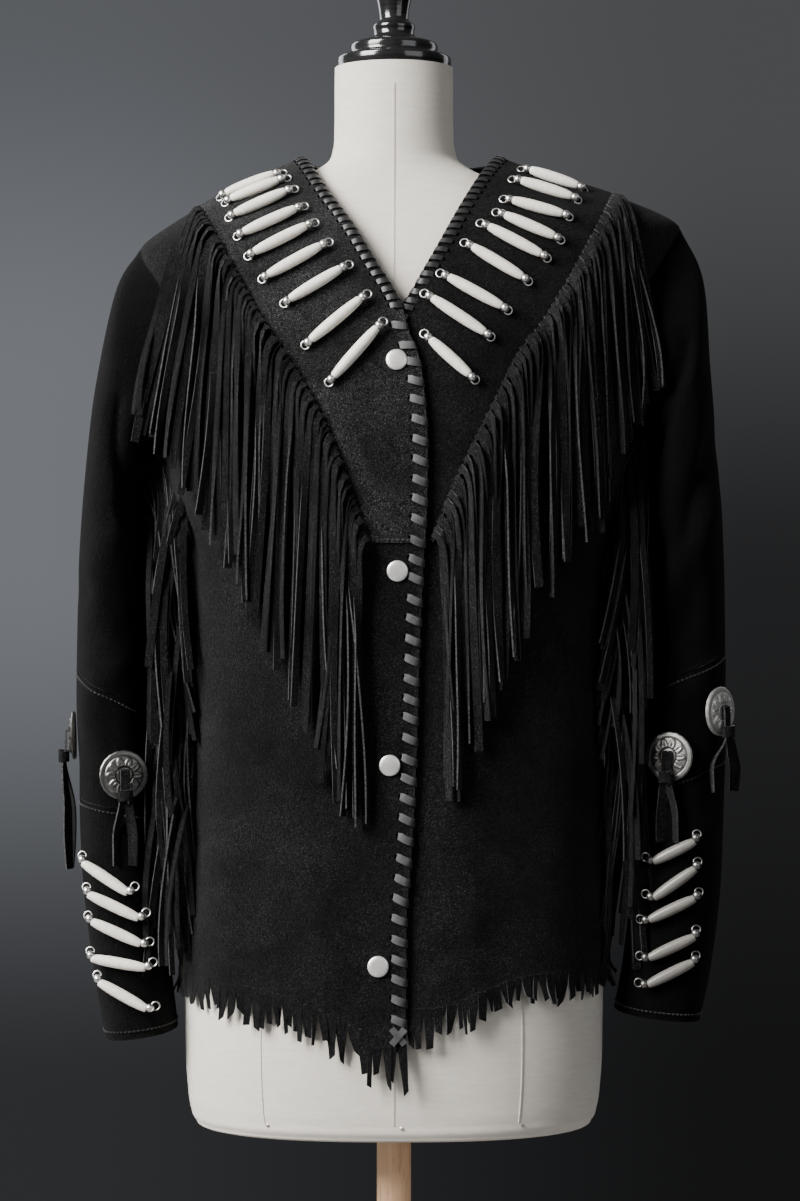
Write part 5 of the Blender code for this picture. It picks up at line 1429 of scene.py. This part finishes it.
def thong(strips, point, normal, tail, spread):
    """A thong through the concho's slots, knotted below them, with two hanging tails."""
    out = np.array((normal.x, normal.y, 0.0))
    out /= np.linalg.norm(out)
    side = np.array((-out[1], out[0], 0.0))
    down = np.array((0.0, 0.0, -1.0))
    base = np.array(point) + 0.0066 * out
    route = ((-0.0042, -0.001), (-0.0036, 0.001), (0.002, 0.0016), (0.010, 0.0016), (0.015, 0.0022))
    strips.strap([base + down * d + out * o for d, o in route], side, 0.0, 0.0038, THONG_THICK)
    knot = base + down * 0.0165 + out * 0.0030
    wrap = []
    for s in np.linspace(0, 1, 15):
        a = 2 * math.pi * s * 1.15 + 0.4
        wrap.append(knot + side * 0.0052 * math.cos(a) + out * 0.0036 * math.sin(a)
                    + down * (0.0022 * s - 0.001))
    strips.strap(wrap, down, 0.0, 0.0044, 0.0018)
    steps = np.linspace(0, 1, 12)
    for way in (-1, 1):
        path = [knot + side * way * (0.0022 + (0.0024 + spread) * ease(s * 1.6))
                + down * (0.002 + (tail - 0.006) * s)
                + out * (0.0016 * way * math.sin(3 * s) - 0.0050 * ease(s * 2)) for s in steps]
        turn = way * 0.5 * np.sin(2.2 * steps) + 0.3 * way
        half = 0.0030 + 0.0014 * np.sin(2.6 * steps)
        strips.strap(path, side, turn, half, THONG_THICK)


def conchos(cloth, rings, metals, strap_mats):
    """Two conchos with their thongs on each sleeve, facing away from its middle."""
    for name, (x, y, z), tail, spread, turn in CONCHOS:
        side = "right" if x < 0 else "left"
        row = np.full((1, SLEEVE_COLUMNS), CONCHO_ROW[side])
        middle = sleeve_at(rings[side], row)[0].mean(axis=0)
        aim = Vector((x - middle[0], y - middle[1], 0.0)).normalized()
        point, normal = cloth.along(Vector((x, y, z)) + 0.3 * aim, -aim)
        normal = Vector((normal.x, normal.y - turn, 0.4 * normal.z)).normalized()
        parts = Parts()
        parts.add(concho_shape(pose_on(point, normal, CONCHO_BACK)))
        parts.build(f"concho_{name}_disc", metals[name], "silver", (f"concho_{name}",), 60)
        strips = Strips()
        thong(strips, point + normal * CONCHO_BACK, normal, tail, spread)
        strips.build(f"thong_{name}_strap", strap_mats, (f"thong_{name}",))


# ---------------- the form and its stand
FORM = {
    "z": (0.616, 0.6175, 0.622, 0.632, 0.65, 0.7, 0.74, 0.78, 0.88, 0.96, 1.04, 1.12, 1.18, 1.24, 1.29,
          1.326, 1.34, 1.356, 1.37, 1.384, 1.395, 1.402, 1.412, 1.43, 1.46, 1.479),
    "half": (0.147, 0.156, 0.162, 0.166, 0.1685, 0.1705, 0.1712, 0.17, 0.158, 0.145, 0.152, 0.166, 0.174,
             0.18, 0.184, 0.186, 0.17, 0.145, 0.117, 0.088, 0.064, 0.054, 0.05, 0.0488, 0.0486, 0.0484),
    "front": (0.096, 0.106, 0.113, 0.116, 0.118, 0.121, 0.1215, 0.119, 0.11, 0.104, 0.112, 0.122, 0.122,
              0.112, 0.098, 0.082, 0.074, 0.064, 0.056, 0.05, 0.047, 0.046, 0.045, 0.0445, 0.044, 0.044),
    "back": (0.086, 0.096, 0.103, 0.106, 0.108, 0.11, 0.11, 0.108, 0.096, 0.088, 0.092, 0.098, 0.103,
             0.104, 0.101, 0.091, 0.086, 0.08, 0.074, 0.068, 0.063, 0.06, 0.057, 0.055, 0.0545, 0.054),
    "power": (2.4, 2.4, 2.4, 2.4, 2.4, 2.4, 2.35, 2.3, 2.2, 2.1, 2.1, 2.2, 2.3, 2.3, 2.3, 2.3, 2.25, 2.2,
              2.15, 2.1, 2.05, 2.0, 2.0, 2.0, 2.0, 2.0),
}
FORM_COLUMNS = 96
FORM_SEAMS = (-0.104, 0.0, 0.1005)     # where the front's seams cross the widest part
FORM_WIDEST = 0.1712    # half of the width there
FORM_POWER = 2.35
FORM_SEAM_FOOT = 0.632
FORM_SEAM_TOPS = (1.30, 1.46)       # the middle one of the front runs up the neck
NAIL_HEIGHT = 0.63


def form_point(turn, z):
    """The form's outer face; turn is 0 at the left side and a quarter turn at the back."""
    half, front, back, power = (curve(FORM["z"], FORM[k], z) for k in ("half", "front", "back", "power"))
    c, s = np.cos(turn), np.sin(turn)
    x = half * rounded(c, 2 / power)
    y = np.where(s > 0, back, front) * rounded(s, 2 / power)
    return np.stack(np.broadcast_arrays(x, y, z), axis=-1)


def bust_form(cloth_mat, seam_mat, metal):
    """The padded form, its eight seams and a nail under each of them."""
    marks = FORM["z"]
    levels = [np.linspace(a, b, 5, endpoint=False) for a, b in zip(marks[:-1], marks[1:])]
    levels = np.concatenate(levels + [marks[-1:]])
    points = form_point(turns(FORM_COLUMNS)[None, :], levels[:, None])
    faces = tube_faces(len(levels), FORM_COLUMNS)
    sharpen(piece("bust_form_linen", points.reshape(-1, 3), faces, [cloth_mat], ("bust_form",)), 60)
    strips = Strips()
    behind = [math.acos(rounded(x / FORM_WIDEST, FORM_POWER / 2)) for x in FORM_SEAMS]
    seam_turns = [2 * math.pi - angle for angle in behind] + behind + [0.0, math.pi]
    nails = Parts()
    for k, angle in enumerate(seam_turns):
        heights = np.linspace(FORM_SEAM_FOOT, FORM_SEAM_TOPS[k == 1], 90)
        line = form_point(np.full(len(heights), angle), heights)
        out = np.array((np.cos(angle), np.sin(angle), 0.0))
        strips.strap(line + out * 0.0002, (-out[1], out[0], 0.0), 0.0, 0.0007, 0.0007)
        spot = form_point(np.array([angle + 0.02]), np.array([NAIL_HEIGHT]))[0]
        nail = pose_on(Vector(spot), Vector((math.cos(angle), math.sin(angle), -0.3)).normalized(), 0.0002)
        nails.add(turned((0.0013, 0.0016, 0.0012, 0.0005), (0.0, 0.0004, 0.0009, 0.0011), 14, nail))
    strips.build("bust_form_seams", [seam_mat] * 2, slot="linen")
    nails.build("bust_form_nails", [metal], "silver")


FINIAL = {
    "r": (0.0465, 0.0472, 0.046, 0.0365, 0.0352, 0.02, 0.0168, 0.0172, 0.012, 0.015, 0.0195, 0.0215, 0.02,
          0.011),
    "z": (1.48, 1.4845, 1.4885, 1.491, 1.4995, 1.504, 1.509, 1.515, 1.521, 1.54, 1.562, 1.585, 1.605,
          1.618),
}
POLE_RADIUS = 0.0140
COLLAR_RADIUS = 0.0190
COLLAR_HEIGHT = 0.013
FINIAL_MIDDLE = (0.0, 0.005, 0.0)
BASE_RADIUS = 0.1850
BASE_HEIGHT = 0.0320


def smooth_profile(radii, heights):
    """A turned profile with rounded corners, from its table of radii and heights."""
    marks = np.arange(len(radii))
    fine = np.linspace(0, len(radii) - 1, (len(radii) - 1) * 5 + 1)
    return curve(marks, radii, fine), curve(marks, heights, fine)


def turned_piece(node, radii, heights, sides, mat, slot, degrees=50, middle=(0.0, 0.0, 0.0)):
    """A turned shape round the vertical, in place of the CAD's node."""
    parts = Parts()
    parts.add(turned(radii, heights, sides, Matrix.Translation(middle)))
    parts.build(node + "_turned", [mat], slot, (node,), degrees)


def stand(gloss, wood, base_wood):
    """The finial on the neck, and the collar, pole and base under the form."""
    radii, heights = smooth_profile(FINIAL["r"], FINIAL["z"])
    turned_piece("neck_finial", radii, heights, 56, gloss, "black_gloss", middle=FINIAL_MIDDLE)
    top, edge = FORM["z"][0], 0.0012
    bottom = top - COLLAR_HEIGHT
    radii = (COLLAR_RADIUS - edge, COLLAR_RADIUS, COLLAR_RADIUS, COLLAR_RADIUS - edge)
    heights = (bottom, bottom + edge, top - SEAM - edge, top - SEAM)
    turned_piece("pole_collar", radii, heights, 48, gloss, "black_gloss")
    heights = np.linspace(BASE_HEIGHT + SEAM, bottom - SEAM, 12)
    turned_piece("pole", [POLE_RADIUS] * 12, heights, 48, wood, "beech")
    edge = 0.006
    radii = (BASE_RADIUS - edge / 2, BASE_RADIUS - 0.0008, BASE_RADIUS, BASE_RADIUS, BASE_RADIUS - 0.0008,
             BASE_RADIUS - edge * 0.45, BASE_RADIUS - edge, 0.160, 0.110, 0.060, 0.045, 0.032, 0.0305, 0.029)
    heights = (0.0, 0.0014, edge / 2, 0.0165, 0.0205, 0.0232, 0.0240, 0.0249, 0.0266, 0.0284,
               0.0292, 0.0312, 0.0318, BASE_HEIGHT)
    turned_piece("base", radii, heights, 120, base_wood, "beech", 40)


FLOOR_RADIUS = 2.6


def floor_disc():
    """The studio's floor, which is no part of the object."""
    mesh = bpy.data.meshes.new("studio_floor")
    verts = [(FLOOR_RADIUS * math.cos(a), FLOOR_RADIUS * math.sin(a), 0.0) for a in turns(96)]
    mesh.from_pydata(verts, [], [tuple(range(96))])
    mesh.materials.append(studio_grey())
    obj = bpy.data.objects.new("studio_floor", mesh)
    bpy.context.collection.objects.link(obj)


# ---------------- the whole
def front_trim(grids, yokes, rings, mats):
    """Lacing round the folded edges, crossed straps at its foot, and stitches on yokes and sleeves."""
    laces = {"front": Strips(), "neck": Strips()}
    holes = Parts()
    for side in SIDES:
        points, normals = grids[side]
        line, beside, facing = points[:, 0].copy(), points[:, 4].copy(), normals[:, 0]
        raised = (line[:, 2] >= YOKE_BOTTOM)[:, None] * (SEAM + CLOTH) * facing
        line, beside = line + raised, beside + raised
        turn = int(np.searchsorted(line[:, 2], NECK_TURN[side]))
        edge_roll(f"front_{side}_fold", line[1:], beside[1:], facing[1:], [mats["suede"]])
        if side == "right":
            part = slice(2, turn)
            lace_edge(laces["front"], holes, line[part], beside[part], facing[part], FRONT_LACING)
            for slope in (-1, 1):
                spot, out = line[1] + np.array((-0.0060, 0.0, 0.0)), facing[1]
                raise_by = 0.0008 + 0.0010 * (slope > 0)
                path = [spot + out * raise_by + np.array((0.0052 * a, 0.0, 0.0062 * slope * a))
                        for a in (-1.0, -0.4, 0.4, 1.0)]
                laces["front"].strap(path, (0.76, 0.0, -0.65 * slope), 0.0, 0.0026, LACE_THICK)
        part = slice(turn, None)
        lace_edge(laces["neck"], holes, line[part], beside[part], facing[part], NECK_LACING)
    for name, strips in laces.items():
        strips.build(f"{name}_lacing", [mats[name], mats["suede"]])
    holes.build("lacing_holes", [mats["hole"]], "suede")
    sewing = Strips()
    for side in SIDES:
        points, normals = yokes[side]
        stitch_line(sewing, *slanted_line(side, yokes[side], -3))
        low = 0.35 * points[0] + 0.65 * points[1]
        stitch_line(sewing, low[8:-2], normals[1, 8:-2])
    sewing.build("front_stitching", [mats["thread"]] * 2)
    for side in SIDES:
        sewing = Strips()
        sleeve_sewing(side, rings[side], sewing)
        sewing.build(f"sleeve_{side}_stitching", [mats["sleeve_thread"]] * 2)


def main():
    place_camera()
    light_scene()
    floor_disc()

    nap, edge = suede(), cut_edge()
    cloth_mats = [nap, edge]
    # Lit and shaded copies of the suede: the right yoke's paler nap is painted light, the left yoke's darker
    # nap is painted shade.
    yoke_mats = {"right": [suede("right_yoke_lit_nap", 0.0020, 0.0090, 0.095, 0.075), edge],
                 "left": [suede("left_yoke_shaded_nap", 0.0006, 0.0026, 0.026, 0.030), edge]}
    # The sleeves' suede is darker copies of it, painted shade; the left sleeve's is darkest, where the light
    # falls off.
    sleeve_mats = {"right": [suede("sleeve_shaded_nap", 0.0003, 0.0010, 0.010, 0.020), edge],
                   "left": [suede("left_sleeve_shaded_nap", 0.0001, 0.0004, 0.004, 0.009), edge]}
    shaded_edge = cut_edge("shaded_cut_edge", 0.040)
    # The left yoke's fringe is a paler copy of the suede, painted light.
    fringe_mats = {"right": cloth_mats,
                   "left": [suede("left_fringe_lit_nap", 0.0012, 0.0050, 0.060, 0.065), edge]}
    seam_mats = {"right": cloth_mats, "left": [nap, shaded_edge]}
    metal, ivory = silver(), bone()
    # The neck's lace and the sleeves' thread are darker copies of the front's lace and of the thread: painted
    # shade.
    trim = {"front": lace_leather(), "neck": lace_leather("neck_lace_shaded_leather", 0.006, 0.018, 0.46),
            "hole": hole_black(), "thread": thread(), "suede": nap,
            "sleeve_thread": thread("sleeve_thread", 0.0004, 0.0028)}

    grids = {side: front_cloth(side) for side in SIDES}
    yokes = {side: yoke_cloth(side) for side in SIDES}
    rings = {side: sleeve_rings(side) for side in SIDES}
    back, back_yoke = back_cloth(), back_cloth(True)
    made = []
    for side in SIDES:
        made.append(shell(f"front_{side}", f"front_{side}", *grids[side], cloth_mats))
        made.append(shell(f"yoke_{side}", f"yoke_front_{side}", *yokes[side], yoke_mats[side]))
    made.append(shell("back", "back_panel", *back, cloth_mats))
    made.append(shell("yoke_back", "yoke_back", *back_yoke, cloth_mats))
    for side in SIDES:
        made += sleeve(side, rings[side], sleeve_mats[side])
    cloth = Cloth(made)

    for side in SIDES:
        line, facing = slanted_line(side, yokes[side], -1)
        hanging_fringe(f"fringe_yoke_{side}", line - FRINGE_SINK * facing, facing, YOKE_STRANDS,
                       YOKE_ENDS[side], cloth, -1, fringe_mats[side], YOKE_CROWD)
    line, facing = (data[0] for data in back_yoke)
    hanging_fringe("fringe_back", line - FRINGE_SINK * facing, facing, BACK_STRANDS, BACK_ENDS, cloth, 1,
                   cloth_mats)
    for side in SIDES:
        hem_fringe(side, grids[side], cloth_mats)
        sleeve_fringe(side, rings[side], cloth, seam_mats[side])
    hem_fringe("back", back, cloth_mats)

    front_trim(grids, yokes, rings, trim)
    bead_rows(cloth, [ivory, metal], [bone("shaded_bone", 0.215), silver("shaded_silver", 0.34, 0.27)])
    snaps(cloth, [satin_cap()])
    # The left side concho's silver is a paler, rougher copy, painted light: little light reaches that side to
    # reflect.
    lit = [silver("concho_silver", 0.34, 0.19)]
    conchos(cloth, rings, {"right_front": lit, "right_side": lit,
                           "left_front": [silver("shaded_concho_silver", 0.42, 0.23)],
                           "left_side": [silver("side_concho_lit_silver", 0.50, 0.62)]}, cloth_mats)
    bust_form(linen(), seam_linen_and_shade(), metal)
    stand(black_gloss(), beech(tone=1.8), beech("beech_turned", (1, 1, 1)))


main()
